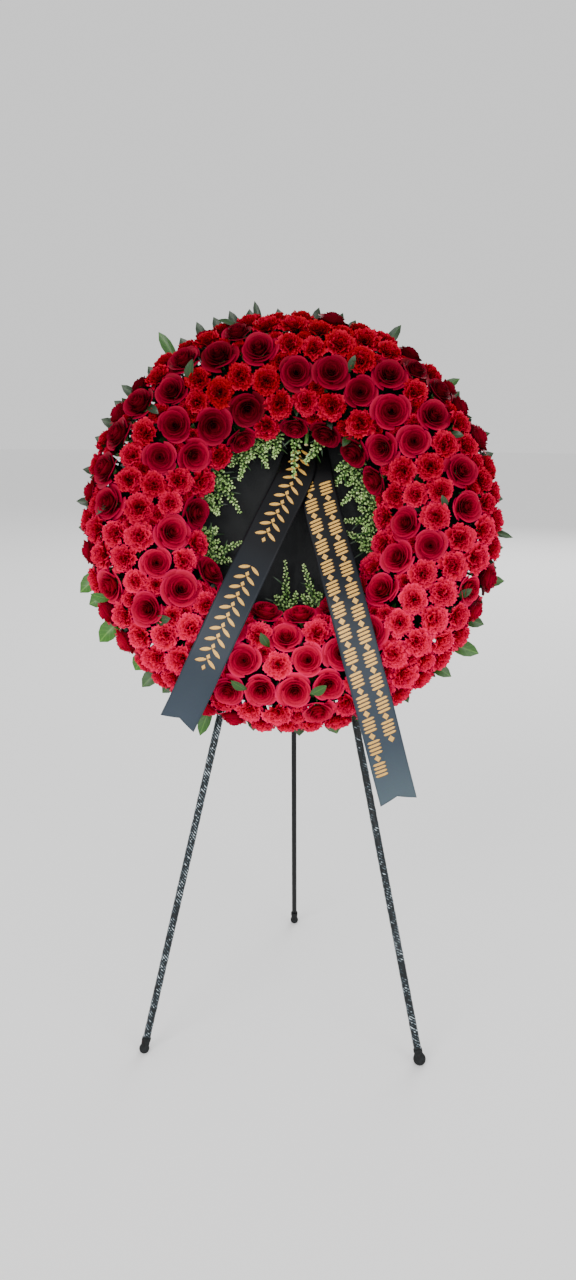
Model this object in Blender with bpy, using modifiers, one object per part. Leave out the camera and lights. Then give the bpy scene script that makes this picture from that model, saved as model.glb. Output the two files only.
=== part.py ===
"""A funeral wreath of red roses and carnations on its folding easel, at its real size.

Metres, +Z up, floor at z = 0, the viewer at -Y, and the origin on the floor under the middle of the whole.
The wreath has a frame of its own: u to the right, v up its face and w out of its face, towards the viewer.
A clock angle turns from the top of the ring towards the viewer's right.
"""
import math

import bmesh
import bpy
import numpy as np
from mathutils import Matrix, Vector

# Driving dimensions
LEAN = math.radians(12)
WREATH_CENTRE = Vector((0, -0.070, 1.194))
CLEARANCE = 0.0003
SECTORS = 12
SECTOR_STEPS = 2

RING_RADIUS = 0.322
BED_HALF_WIDTH = 0.090
BED_WALL = 0.034
BED_TOP = 0.1003
BED_STEPS = 4
TRAY_INNER = 0.240
TRAY_DEPTH = 0.010
CLOTH_RADIUS = 0.300
CLOTH_DEPTH = 0.002

BLOOM_ROWS = (42, 39, 35, 29, 24, 21)
RIM_ANGLE = math.radians(14)
INNER_ANGLE = math.radians(152)
HEADS_HALF_WIDTH = 0.127
HEADS_BASE = 0.025
HEADS_RISE = 0.115
ROSE_RADIUS = (0.035, 0.042)
CARNATION_RADIUS = (0.026, 0.032)
ROSE_SHARE = 0.40
STEM_DEPTH = 0.050
STEM_RADIUS = 0.0024
NECK_RADIUS = 0.17
NECK_DROP = 0.60
ROOT_MARGIN = 0.011

LEAVES_PER_SPRAY = 5
SPRAY_REACH = math.radians(7.5)
STALK_SPAN = math.radians(0.3)
LEAF_LENGTH = (0.052, 0.088)
LEAF_HALF_WIDTH = 0.0095
LEAF_THICKNESS = 0.0016
LEAF_OUTLINE = ((0.36, 1.0), (0.70, 0.84))
LEAF_ARCH = 0.0012
LEAF_DROOP = 0.16
LEAF_SWING = 0.22
LEAF_TWIST = 0.30
TWIG_RADIUS = 0.0013
TWIG_HEIGHT = 0.006

SPRIG_ROOT_HEIGHT = 0.029
SPRIG_RADIUS = 0.0017
SPRIG_TAPER = 0.3
SPRIG_REACH = 0.050
SPRIG_RISE = 0.008
SPRIG_BUDS = 7
BUD_LENGTH = 0.010
BUD_RADIUS = 0.0030

RIBBON_WIDTH = 0.080
RIBBON_THICKNESS = 0.0016
RIBBON_CREST = 0.1675
SWALLOWTAIL = 0.016

LEG_RADIUS = 0.0075
LEG_WALL = 0.0015
LEG_AXIS = -(CLOTH_DEPTH + 2 * CLEARANCE + LEG_RADIUS)
FOOT_SPREAD = 0.318
HEAD_SPREAD = 0.013
LEG_TOP = 0.235
WRAP_TOP = -0.425
WRAP_THICKNESS = 0.0012
FERRULE_LENGTH = 0.036
FERRULE_WALL = 0.0018
FERRULE_SINK = 0.79
BALL_LEFT = 0.0118
BALL_RIGHT = 0.0145
BALL_BACK = 0.0112
LEG_END = 0.0135
CROSS_BAR_HEIGHT = -0.300
CROSS_BAR_RADIUS = 0.004
PEG_RADIUS = 0.004
PEG_REACH = 0.024

BACK_LEG_RADIUS = 0.0068
BACK_FOOT = Vector((0, 0.309, 0))
PLATE_THICKNESS = 0.004
PLATE_BACK = LEG_AXIS - LEG_RADIUS - CLEARANCE - PLATE_THICKNESS
PIVOT_HEIGHT = 0.215
PIVOT_DEPTH = -0.0365
PLATE_HALF_WIDTH = 0.028
PLATE_HALF_HEIGHT = 0.030
EAR_THICKNESS = 0.004
EAR_HALF_HEIGHT = 0.011
EAR_REACH = 0.012
BOLT_RADIUS = 0.003
BOLT_HOLE = 0.0033
BOLT_HEAD_RADIUS = 0.0058
BOLT_HEAD_HEIGHT = 0.004
NUT_HEIGHT = 0.0045
SIDES = 12
SMALL_SIDES = 8


def clean_scene():
    """Empties the scene of whatever it holds."""
    for thing in list(bpy.data.objects):
        bpy.data.objects.remove(thing, do_unlink=True)


def new_collection(name, hidden=False):
    """A collection in the scene; a hidden one holds cutters and is left out of the model."""
    group = bpy.data.collections.new(name)
    bpy.context.scene.collection.children.link(group)
    group.hide_render = hidden
    return group


def finish(name, colour, roughness, metallic=0.0):
    """A plain shader of one colour."""
    made = bpy.data.materials.new(name)
    made.use_nodes = True
    shader = made.node_tree.nodes["Principled BSDF"]
    shader.inputs["Base Color"].default_value = (*colour, 1)
    shader.inputs["Roughness"].default_value = roughness
    shader.inputs["Metallic"].default_value = metallic
    made.diffuse_color = (*colour, 1)
    return made


def put(name, mesh, material, parent=None, group=None):
    """Makes an object of a mesh, in the model's collection, with its material and its parent."""
    thing = bpy.data.objects.new(name, mesh)
    (group or MODEL).objects.link(thing)
    if material:
        mesh.materials.append(material)
    thing.parent = parent
    return thing


def new_mesh(name, bm):
    """Turns a finished bmesh into a mesh, with its faces pointing out."""
    bmesh.ops.recalc_face_normals(bm, faces=bm.faces[:])
    mesh = bpy.data.meshes.new(name)
    bm.to_mesh(mesh)
    bm.free()
    return mesh


def cutter(name, mesh, parent=None):
    """An object that only cuts others."""
    thing = put(name, mesh, None, parent, CUTTERS)
    thing.hide_render = True
    thing.display_type = "WIRE"
    return thing


def cut(thing, tool):
    """Takes one object's shape out of another."""
    step = thing.modifiers.new("cut", "BOOLEAN")
    step.operation = "DIFFERENCE"
    step.solver = "EXACT"
    step.object = tool


def join(name, core, pieces, material, parent):
    """Fuses a core with the pieces that grow from it into one body, and removes what it was made from."""
    scrap = new_collection(name + "_pieces")
    for number, mesh in enumerate(pieces):
        put(f"{name}_piece_{number}", mesh, None, None, scrap)
    body = put(name, core, None)
    union = body.modifiers.new("union", "BOOLEAN")
    union.operation = "UNION"
    union.operand_type = "COLLECTION"
    union.collection = scrap
    union.solver = "EXACT"
    bpy.context.view_layer.update()
    fused = bpy.data.meshes.new_from_object(body.evaluated_get(bpy.context.evaluated_depsgraph_get()))
    fused.name = name
    bpy.data.objects.remove(body, do_unlink=True)
    for piece in list(scrap.objects):
        bpy.data.objects.remove(piece, do_unlink=True)
    bpy.data.collections.remove(scrap)
    fused.materials.clear()
    return put(name, fused, material, parent)


def clock(angle, radius, height):
    """A point of the wreath's frame from its clock angle, its radius and its height over the face."""
    return Vector((radius * math.sin(angle), radius * math.cos(angle), height))


def facet(angle, radius):
    """How far out a flat side of the ring lies at a clock angle, the ring's corners being at the radius."""
    side = 2 * math.pi / (SECTORS * SECTOR_STEPS)
    return radius * math.cos(side / 2) / math.cos(angle % side - side / 2)


def loft(bm, rings):
    """Skins rings that have the same number of points and closes both ends."""
    rows = [[bm.verts.new(point) for point in ring] for ring in rings]
    count = len(rows[0])
    for low, high in zip(rows, rows[1:]):
        for i in range(count):
            j = (i + 1) % count
            bm.faces.new((low[i], low[j], high[j], high[i]))
    bm.faces.new(rows[0][::-1])
    bm.faces.new(rows[-1])


def aim(place, direction, roll=0.0):
    """The matrix that stands a shape's Z axis along a direction at a place."""
    turn = Vector(direction).to_track_quat("Z", "Y").to_matrix().to_4x4()
    return Matrix.Translation(place) @ turn @ Matrix.Rotation(roll, 4, "Z")


def turned(name, profile, material, parent, sides=SIDES, closed=True):
    """A turned piece: a profile of (radius, height) points spun about Z, down its outer side first."""
    bm = bmesh.new()
    points = [bm.verts.new((radius, 0, height)) for radius, height in profile]
    for start, end in zip(points, points[1:] + (points[:1] if closed else [])):
        bm.edges.new((start, end))
    mesh = bpy.data.meshes.new(name)
    bm.to_mesh(mesh)
    bm.free()
    thing = put(name, mesh, material, parent)
    spin = thing.modifiers.new("turn", "SCREW")
    spin.steps = sides
    spin.render_steps = sides
    spin.use_merge_vertices = True
    spin.merge_threshold = 0.00002
    return thing


def rod(name, start, end, radius, material, parent, sides=SMALL_SIDES):
    """A round bar between two points."""
    axis = end - start
    bm = bmesh.new()
    bmesh.ops.create_cone(bm, cap_ends=True, segments=sides, radius1=radius, radius2=radius, depth=axis.length,
                          matrix=aim((start + end) / 2, axis))
    return put(name, new_mesh(name, bm), material, parent)


def tube(name, start, end, outer, inner, material, parent):
    """A round tube, open at both ends, standing along the line from its start to its end."""
    length = (end - start).length
    profile = ((outer, length), (outer, 0), (inner, 0), (inner, length))
    thing = turned(name, profile, material, parent)
    thing.matrix_local = aim(start, end - start)
    return thing


def box_mesh(name, low, high):
    """A box from its lowest and its highest corner."""
    size = [b - a for a, b in zip(low, high)]
    middle = [(a + b) / 2 for a, b in zip(low, high)]
    bm = bmesh.new()
    bmesh.ops.create_cube(bm, size=1, matrix=Matrix.Translation(middle) @ Matrix.Diagonal((*size, 1)))
    return new_mesh(name, bm)


def bed_section(angle):
    """The outline of the foam and foliage across the ring at a clock angle: a flat back under a dome."""
    outline = [(RING_RADIUS + BED_HALF_WIDTH, TRAY_DEPTH + CLEARANCE)]
    for i in range(BED_STEPS + 1):
        turn = math.pi * i / BED_STEPS
        outline.append((RING_RADIUS + BED_HALF_WIDTH * math.cos(turn),
                        BED_WALL + (BED_TOP - BED_WALL) * math.sin(turn)))
    outline.append((RING_RADIUS - BED_HALF_WIDTH, TRAY_DEPTH + CLEARANCE))
    return [clock(angle, radius, height) for radius, height in outline]


def bed_mesh(middle):
    """The foam and foliage of one sector of the ring, a hair short of its neighbours."""
    half = math.pi / SECTORS
    gap = CLEARANCE / (RING_RADIUS - BED_HALF_WIDTH)
    angles = [middle - half + gap, middle, middle + half - gap]
    bm = bmesh.new()
    loft(bm, [bed_section(angle) for angle in angles])
    return new_mesh("bed", bm)


def head_place(turn, lift):
    """A bloom's centre on the rounded front of the ring, from its clock angle and its angle over the rim."""
    radius = RING_RADIUS + HEADS_HALF_WIDTH * np.cos(lift)
    height = HEADS_BASE + HEADS_RISE * np.sin(lift)
    return np.stack([radius * np.sin(turn), radius * np.cos(turn), height], axis=-1)


def head_normal(turn, lift):
    """The way that a bloom faces."""
    return np.stack([np.cos(lift) * np.sin(turn), np.cos(lift) * np.cos(turn), np.sin(lift)], axis=-1)


def lay_out_blooms():
    """Kind, radius, clock angle and lift of every bloom: even rows, then pushed apart where they crowd."""
    draw = np.random.default_rng(12)
    rows = len(BLOOM_ROWS)
    turn = []
    lift = []
    for row, count in enumerate(BLOOM_ROWS):
        start = draw.random()
        turn += [2 * math.pi * (i + start) / count for i in range(count)]
        lift += [RIM_ANGLE + (INNER_ANGLE - RIM_ANGLE) * (row + 0.06) / (rows - 0.88)] * count
    turn = np.array(turn)
    lift = np.array(lift)
    rose = draw.random(len(turn)) < ROSE_SHARE
    size = draw.random(len(turn))
    low = np.where(rose, ROSE_RADIUS[0], CARNATION_RADIUS[0])
    high = np.where(rose, ROSE_RADIUS[1], CARNATION_RADIUS[1])
    radius = low + (high - low) * size
    wanted = radius[:, None] + radius[None, :] + 2 * CLEARANCE
    for _ in range(700):
        place = head_place(turn, lift)
        apart = place[:, None, :] - place[None, :, :]
        distance = np.linalg.norm(apart, axis=2)
        np.fill_diagonal(distance, 1)
        push = 0.5 * np.maximum(wanted - distance, 0) / distance
        np.fill_diagonal(push, 0)
        move = 0.5 * (push[:, :, None] * apart).sum(axis=1)
        ring = RING_RADIUS + HEADS_HALF_WIDTH * np.cos(lift)
        along = np.stack([np.cos(turn), -np.sin(turn), 0 * turn], axis=-1)
        up = np.stack([-np.sin(lift) * np.sin(turn), -np.sin(lift) * np.cos(turn), np.cos(lift)], axis=-1)
        turn = turn + (move * along).sum(axis=1) / ring
        lift = lift + (move * up).sum(axis=1) / HEADS_HALF_WIDTH
        lift = np.clip(lift, RIM_ANGLE, INNER_ANGLE)
    place = head_place(turn, lift)
    distance = np.linalg.norm(place[:, None, :] - place[None, :, :], axis=2)
    np.fill_diagonal(distance, 1)
    for _ in range(3):
        room = (distance - 2 * CLEARANCE) / (radius[:, None] + radius[None, :])
        radius = radius * np.minimum(room.min(axis=1), 1)
    return [dict(rose=bool(r), radius=float(s), turn=float(t) % (2 * math.pi), lift=float(p))
            for r, s, t, p in zip(rose, radius, turn, lift)]


def stitch(bm, low, high):
    """Joins two rings of unlike count; each is a list of (share of a turn, vertex) in rising order."""
    i = 0
    j = 0
    while i < len(low) or j < len(high):
        next_low = low[(i + 1) % len(low)][0] + (i + 1) // len(low)
        next_high = high[(j + 1) % len(high)][0] + (j + 1) // len(high)
        here = low[i % len(low)][1]
        there = high[j % len(high)][1]
        if j == len(high) or (i < len(low) and next_low <= next_high):
            i += 1
            bm.faces.new((here, low[i % len(low)][1], there))
        else:
            j += 1
            bm.faces.new((here, high[j % len(high)][1], there))


# A bloom's rings from its outer petals to its heart: (points, shift, radii, heights), the radii and the
# heights as shares of the bloom's radius. Two values take turns round the ring.
ROSE_RINGS = (
    (10, 0.00, (0.96, 0.93), (0.26, 0.03)),
    (5, 0.05, (0.70,), (0.11,)),
    (5, 0.10, (0.62,), (0.50,)),
    (5, 0.02, (0.37,), (0.26,)),
    (5, 0.07, (0.24,), (0.56,)),
)
ROSE_HEART = 0.30
CARNATION_RINGS = (
    (10, 0.00, (0.98, 0.89), (0.08, 0.40)),
    (5, 0.06, (0.52,), (0.32,)),
    (5, 0.02, (0.36,), (0.76,)),
)
CARNATION_HEART = 0.44


def bloom_mesh(bloom, spin, middle):
    """One bloom: rings of petals round its heart, tapering under them to a three-sided stem in the foam.

    The stem's end stays inside the bloom's own sector.
    """
    turn = bloom["turn"]
    size = bloom["radius"]
    place = Vector(head_place(turn, bloom["lift"]))
    facing = Vector(head_normal(turn, bloom["lift"]))
    frame = aim(place, facing, spin)
    root = place - facing * STEM_DEPTH
    reach = math.hypot(root.x, root.y)
    margin = math.pi / SECTORS - ROOT_MARGIN / reach
    off = (turn - middle + math.pi) % (2 * math.pi) - math.pi
    root_turn = middle + max(-margin, min(margin, off))
    root = frame.inverted() @ clock(root_turn, reach, root.z)
    bm = bmesh.new()

    def ring(count, shift, radii, heights, centre=(0, 0)):
        made = []
        for i in range(count):
            share = (i + shift) / count if count < 10 else i / count
            across = radii[i % len(radii)]
            x = centre[0] + across * math.cos(2 * math.pi * share)
            y = centre[1] + across * math.sin(2 * math.pi * share)
            made.append((share, bm.verts.new(frame @ Vector((x, y, heights[i % len(heights)])))))
        return made

    rows = [ring(3, 0, (STEM_RADIUS,), (root.z,), (root.x, root.y)),
            ring(3, 0, (NECK_RADIUS * size,), (-NECK_DROP * size,))]
    for count, shift, radii, heights in (ROSE_RINGS if bloom["rose"] else CARNATION_RINGS):
        rows.append(ring(count, shift * count, [r * size for r in radii], [h * size for h in heights]))
    for low, high in zip(rows, rows[1:]):
        stitch(bm, low, high)
    heart = bm.verts.new(frame @ Vector((0, 0, size * (ROSE_HEART if bloom["rose"] else CARNATION_HEART))))
    top = [vertex for _, vertex in rows[-1]]
    for i, vertex in enumerate(top):
        bm.faces.new((vertex, top[(i + 1) % len(top)], heart))
    bm.faces.new([vertex for _, vertex in rows[0]][::-1])
    return new_mesh("bloom", bm)


def build_blooms(parent):
    """The red of the wreath: twelve sectors, each the foam and foliage with the blooms that stand in it."""
    petals = finish("petals", (0.42, 0.012, 0.030), 0.55)
    draw = np.random.default_rng(3)
    blooms = lay_out_blooms()
    spins = draw.random(len(blooms)) * 2 * math.pi
    for sector in range(SECTORS):
        middle = 2 * math.pi * sector / SECTORS
        heads = []
        for bloom, spin in zip(blooms, spins):
            if round(bloom["turn"] / (2 * math.pi) * SECTORS) % SECTORS == sector:
                heads.append(bloom_mesh(bloom, spin, middle))
        join(f"bloom_sector_{sector + 1:02d}", bed_mesh(middle), heads, petals, parent)


def build_backing(parent):
    """The plastic tray that holds the foam, and the black cloth stretched behind it across the hole."""
    plastic = finish("tray_plastic", (0.02, 0.05, 0.025), 0.5)
    cloth = finish("black_cloth", (0.010, 0.011, 0.013), 0.8)
    steps = SECTORS * SECTOR_STEPS
    outer = RING_RADIUS + BED_HALF_WIDTH
    profile = ((outer, TRAY_DEPTH), (outer, 0), (TRAY_INNER, 0), (TRAY_INNER, TRAY_DEPTH))
    turned("tray_ring", profile, plastic, parent, steps)
    bm = bmesh.new()
    height = -CLEARANCE - CLOTH_DEPTH / 2
    bmesh.ops.create_cone(bm, cap_ends=True, segments=steps, radius1=CLOTH_RADIUS, radius2=CLOTH_RADIUS,
                          depth=CLOTH_DEPTH, matrix=Matrix.Translation((0, 0, height)))
    put("cloth_panel", new_mesh("cloth_panel", bm), cloth, parent)


def facing(points):
    """The way that the points' own order round their middle faces, by the right hand."""
    middle = sum(points, Vector()) / len(points)
    arms = [point - middle for point in points]
    return sum((a.cross(b) for a, b in zip(arms, arms[1:] + arms[:1])), Vector())


def grow(bm, face, rings, tip):
    """Grows a four-sided shoot out of a face: it passes through the rings and ends in a point.

    A ring's points are taken in the face's own order round it, so that the shoot's sides never cross.
    """
    for ring in rings:
        face = bmesh.ops.extrude_discrete_faces(bm, faces=[face])["faces"][0]
        corners = [loop.vert for loop in face.loops]
        if facing([corner.co for corner in corners]).dot(facing(ring)) < 0:
            ring = ring[::-1]
        middle = sum((corner.co for corner in corners), Vector()) / 4
        target = sum(ring, Vector()) / 4
        arms = [(corner.co - middle).normalized() for corner in corners]
        turns = [ring[i:] + ring[:i] for i in range(4)]
        best = max(turns, key=lambda points: sum(arm.dot((point - target).normalized())
                                                 for arm, point in zip(arms, points)))
        for corner, point in zip(corners, best):
            corner.co = point
    last = bmesh.ops.extrude_discrete_faces(bm, faces=[face])["faces"][0]
    bmesh.ops.pointmerge(bm, verts=list(last.verts), merge_co=tip)


def leaf_rings(base, along, side, length, half_width):
    """Two rings of a leaf: a blade with a raised midrib, widest near its middle and bent down at its edges."""
    up = along.cross(side).normalized()
    rings = []
    for share, width in LEAF_OUTLINE:
        middle = base + along * length * share + up * LEAF_ARCH
        edge = side * half_width * width
        droop = up * half_width * width * LEAF_DROOP
        rings.append([middle + edge - droop, middle + up * LEAF_THICKNESS / 2, middle - edge - droop,
                      middle - up * LEAF_THICKNESS / 2])
    return rings


def build_leaf_sprays(parent):
    """Twelve sprays of glossy leaves pinned round the rim, each a twig on the foam's edge with its leaves."""
    green = finish("leaf_green", (0.035, 0.105, 0.022), 0.35)
    draw = np.random.default_rng(5)
    outer = RING_RADIUS + BED_HALF_WIDTH
    for spray in range(SECTORS):
        middle = 2 * math.pi * spray / SECTORS
        spots = [SPRAY_REACH * (2 * i / (LEAVES_PER_SPRAY - 1) - 1) for i in range(LEAVES_PER_SPRAY)]
        stations = [spot + shift for spot in spots for shift in (-STALK_SPAN, STALK_SPAN)]
        rings = []
        for off in stations:
            angle = middle + off
            centre = clock(angle, facet(angle, outer) + CLEARANCE + TWIG_RADIUS, TWIG_HEIGHT)
            out = clock(angle, TWIG_RADIUS, 0)
            rise = Vector((0, 0, TWIG_RADIUS))
            rings.append([centre - out * 0.9, centre + out * 0.6 + rise, centre + out * 0.6 - rise])
        bm = bmesh.new()
        loft(bm, rings)
        bm.normal_update()
        bm.faces.ensure_lookup_table()
        outer_faces = [bm.faces[3 * 2 * number + 1] for number in range(LEAVES_PER_SPRAY)]
        for spot, face in zip(spots, outer_faces):
            angle = middle + spot
            base = face.calc_center_median()
            lean = angle + spot * 0.55 + (draw.random() - 0.5) * LEAF_SWING
            along = (clock(lean, 1, 0) + Vector((0, 0, 0.03 * (draw.random() - 0.6)))).normalized()
            side = clock(lean + math.pi / 2, 1, 0) + Vector((0, 0, (draw.random() - 0.5) * LEAF_TWIST))
            side = (side - along * side.dot(along)).normalized()
            length = LEAF_LENGTH[0] + (LEAF_LENGTH[1] - LEAF_LENGTH[0]) * draw.random()
            width = LEAF_HALF_WIDTH * (0.85 + 0.3 * draw.random())
            grow(bm, face, leaf_rings(base, along, side, length, width), base + along * length)
        put(f"leaf_spray_{spray + 1:02d}", new_mesh("leaf_spray", bm), green, parent)


# Each sprig in the hole: the clock angle of its root in degrees, then its tip's u, v and w in metres.
SPRIGS = (
    (-31, (-0.114, 0.092, 0.052)),
    (-22, (-0.050, 0.118, 0.066)),
    (-8, (-0.036, 0.140, 0.072)),
    (3, (0.009, 0.092, 0.096)),
    (20, (0.033, 0.128, 0.084)),
    (-58, (-0.110, 0.020, 0.050)),
    (-74, (-0.160, 0.016, 0.046)),
    (-101, (-0.163, -0.012, 0.046)),
    (-112, (-0.104, -0.044, 0.052)),
    (181, (-0.007, -0.084, 0.060)),
    (162, (0.033, -0.092, 0.052)),
    (46, (0.095, 0.079, 0.050)),
    (60, (0.114, 0.040, 0.058)),
    (75, (0.146, 0.056, 0.044)),
    (88, (0.114, 0.006, 0.050)),
    (104, (0.123, -0.018, 0.046)),
)


def build_sprigs(parent):
    """Sprigs of pale buds pushed into the foam's inner wall, reaching into the hole under the blooms."""
    pale = finish("sprig_green", (0.33, 0.48, 0.20), 0.5)
    draw = np.random.default_rng(8)
    for number, (degrees, tip) in enumerate(SPRIGS):
        angle = math.radians(degrees)
        wall = facet(angle, RING_RADIUS - BED_HALF_WIDTH) - 2 * CLEARANCE
        root = clock(angle, wall, SPRIG_ROOT_HEIGHT)
        end = Vector(tip)
        knee = clock(angle, wall - SPRIG_REACH, SPRIG_ROOT_HEIGHT + SPRIG_RISE)
        rings = []
        ways = []
        for i in range(SPRIG_BUDS + 2):
            t = (0, *np.linspace(0.22, 1, SPRIG_BUDS + 1))[i]
            point = root * (1 - t) ** 2 + knee * 2 * t * (1 - t) + end * t ** 2
            along = ((knee - root) * (1 - t) + (end - knee) * t).normalized()
            frame = aim(point, along)
            thick = SPRIG_RADIUS * (1 - SPRIG_TAPER * t)
            ways.append(along)
            rings.append([frame @ Vector((thick * math.cos(a), thick * math.sin(a), 0))
                          for a in (0.3, 0.3 + 2 * math.pi / 3, 0.3 + 4 * math.pi / 3)])
        bm = bmesh.new()
        loft(bm, rings)
        bm.normal_update()
        bm.faces.ensure_lookup_table()
        bud_faces = [bm.faces[3 * (bud + 1) + bud % 3] for bud in range(SPRIG_BUDS)]
        for bud, face in enumerate(bud_faces):
            base = face.calc_center_median()
            along = ways[bud + 2]
            out = (base - sum(rings[bud + 1] + rings[bud + 2], Vector()) / 6).normalized()
            heading = (out + along * 0.7).normalized()
            across = along.cross(heading).normalized()
            over = heading.cross(across)
            size = BUD_LENGTH * (0.85 + 0.3 * draw.random())
            middle = base + heading * size * 0.5
            ring = [middle + across * BUD_RADIUS, middle + over * BUD_RADIUS, middle - across * BUD_RADIUS,
                    middle - over * BUD_RADIUS]
            grow(bm, face, [ring], base + heading * size)
        put(f"sprig_{number + 1:02d}", new_mesh("sprig", bm), pale, parent)


# Middle lines of the two ribbons in the wreath's frame, from the top of the hole over the lower ring.
RIBBON_LEFT = (
    (0.024, None, 0.0190, 0.40),
    (0.023, 0.200, 0.0225, 0.60),
    (0.021, 0.165, 0.0335, 0.85),
    (0.017, 0.130, 0.0500, 1.0),
    (0.006, 0.088, 0.0710, 1.0),
    (-0.030, 0.005, 0.1040, 1.0),
    (-0.068, -0.085, 0.1330, 1.0),
    (-0.108, -0.180, 0.1600, 1.0),
    (-0.136, -0.245, RIBBON_CREST + 0.002, 1.0),
    (-0.165, -0.310, RIBBON_CREST + 0.002, 1.0),
    (-0.194, -0.373, 0.1600, 1.0),
    (-0.222, -0.430, 0.1480, 1.0),
)
RIBBON_RIGHT = (
    (0.046, None, 0.0140, 0.40),
    (0.046, 0.200, 0.0165, 0.60),
    (0.047, 0.165, 0.0250, 0.85),
    (0.050, 0.130, 0.0390, 1.0),
    (0.058, 0.088, 0.0580, 1.0),
    (0.079, 0.000, 0.0920, 1.0),
    (0.106, -0.095, 0.1290, 1.0),
    (0.130, -0.180, 0.1600, 1.0),
    (0.148, -0.245, RIBBON_CREST + 0.002, 1.0),
    (0.166, -0.310, RIBBON_CREST + 0.002, 1.0),
    (0.184, -0.370, 0.1660, 1.0),
    (0.201, -0.430, 0.1560, 1.0),
    (0.223, -0.510, 0.1410, 1.0),
    (0.245, -0.588, 0.1260, 1.0),
)


def ribbon(name, path, material, parent):
    """A satin ribbon: a strip along its path, gathered at its pinned end, with a swallowtail at its free end."""
    inner = RING_RADIUS - BED_HALF_WIDTH
    points = []
    for u, v, w, _ in path:
        if v is None:
            corner = abs(u) + 0.5 * RIBBON_WIDTH * path[0][3]
            angle = math.asin(corner / inner)
            v = facet(angle, inner) * math.cos(angle) - 2 * CLEARANCE
        points.append(Vector((u, v, w)))
    bm = bmesh.new()
    rows = []
    for i, point in enumerate(points):
        before = points[max(i - 1, 0)]
        after = points[min(i + 1, len(points) - 1)]
        along = (after - before).normalized()
        side = Vector((-along.y, along.x, 0)).normalized()
        if side.x < 0:
            side = -side
        if i == 0:
            side = Vector((1, 0, 0))
        half = side * RIBBON_WIDTH / 2 * path[i][3]
        tail = along * SWALLOWTAIL if i == len(points) - 1 else Vector()
        rows.append([bm.verts.new(point - half + tail), bm.verts.new(point), bm.verts.new(point + half + tail)])
    for low, high in zip(rows, rows[1:]):
        for i in range(2):
            bm.faces.new((low[i], low[i + 1], high[i + 1], high[i]))
    thing = put(name, new_mesh(name, bm), material, parent)
    wall = thing.modifiers.new("wall", "SOLIDIFY")
    wall.thickness = RIBBON_THICKNESS
    wall.offset = 0
    return thing


def build_ribbons(parent):
    """Two black satin ribbons pinned at the top of the hole and laid over the lower part of the ring."""
    satin = finish("black_satin", (0.020, 0.022, 0.028), 0.35)
    ribbon("ribbon_left", RIBBON_LEFT, satin, parent)
    ribbon("ribbon_right", RIBBON_RIGHT, satin, parent)


def leg_line(side):
    """Foot and head of a front leg's middle line in the wreath's frame; the foot lies on the floor."""
    drop = (-WREATH_CENTRE.z - LEG_AXIS * math.sin(LEAN)) / math.cos(LEAN)
    return Vector((side * FOOT_SPREAD, drop, LEG_AXIS)), Vector((side * HEAD_SPREAD, LEG_TOP, LEG_AXIS))


def on_leg(side, v):
    """The point of a front leg's middle line at a height of the wreath's face."""
    foot, head = leg_line(side)
    return foot.lerp(head, (v - foot.y) / (head.y - foot.y))


def ferrule(name, foot, direction, bore, ball, material, parent):
    """A rubber foot: a sleeve over the leg's end that swells into a ball, cut flat on the floor."""
    sleeve = bore + FERRULE_WALL
    rise = FERRULE_SINK * ball / direction.z
    profile = [(0, LEG_END - CLEARANCE), (bore, LEG_END - CLEARANCE), (bore, FERRULE_LENGTH),
               (sleeve, FERRULE_LENGTH), (sleeve, rise + 0.75 * ball)]
    for i in range(1, 4):
        turn = math.radians(80 - 50 * i)
        profile.append((ball * math.cos(turn), rise + ball * math.sin(turn)))
    profile[-1] = (0, rise - ball)
    thing = turned(name, profile[::-1], material, parent, SIDES, closed=False)
    thing.matrix_world = aim(foot, direction)
    cut(thing, FLOOR)
    return thing


def build_front_legs(parent):
    """Two steel tubes in black film, the cross bar and pegs welded between and on them, and their feet."""
    paint = finish("leg_paint", (0.012, 0.014, 0.016), 0.4, 0.3)
    film = finish("black_film", (0.020, 0.030, 0.038), 0.25)
    rubber = finish("foot_rubber", (0.014, 0.015, 0.016), 0.6)
    outer = RING_RADIUS + BED_HALF_WIDTH
    for side, word, ball in ((-1, "left", BALL_LEFT), (1, "right", BALL_RIGHT)):
        foot, head = leg_line(side)
        along = (head - foot).normalized()
        tube(f"leg_{word}", foot + along * LEG_END, head, LEG_RADIUS, LEG_RADIUS - LEG_WALL, paint, parent)
        tube(f"leg_wrap_{word}", foot + along * (FERRULE_LENGTH + CLEARANCE), on_leg(side, WRAP_TOP),
             LEG_RADIUS + CLEARANCE + WRAP_THICKNESS, LEG_RADIUS + CLEARANCE, film, parent)
        floor_point = parent.matrix_world @ foot
        direction = (parent.matrix_world.to_3x3() @ along).normalized()
        ferrule(f"foot_{word}", floor_point, direction, LEG_RADIUS + CLEARANCE, ball, rubber, None)
        angle = math.radians(20)
        for _ in range(4):
            seat = facet(angle, outer) + CLEARANCE + PEG_RADIUS
            height = -seat * math.cos(angle)
            angle = math.asin(abs(on_leg(side, height).x) / seat)
        start = on_leg(side, height)
        start.z = LEG_AXIS + LEG_RADIUS + CLEARANCE
        rod(f"peg_{word}", start, Vector((start.x, start.y, PEG_REACH)), PEG_RADIUS, paint, parent)
    end = on_leg(1, CROSS_BAR_HEIGHT)
    foot, head = leg_line(1)
    slope = abs(head.x - foot.x) / (head.y - foot.y)
    end.x -= (LEG_RADIUS * math.hypot(1, slope) + CROSS_BAR_RADIUS * slope + CLEARANCE)
    rod("cross_bar", Vector((-end.x, end.y, end.z)), end, CROSS_BAR_RADIUS, paint, parent)


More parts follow.
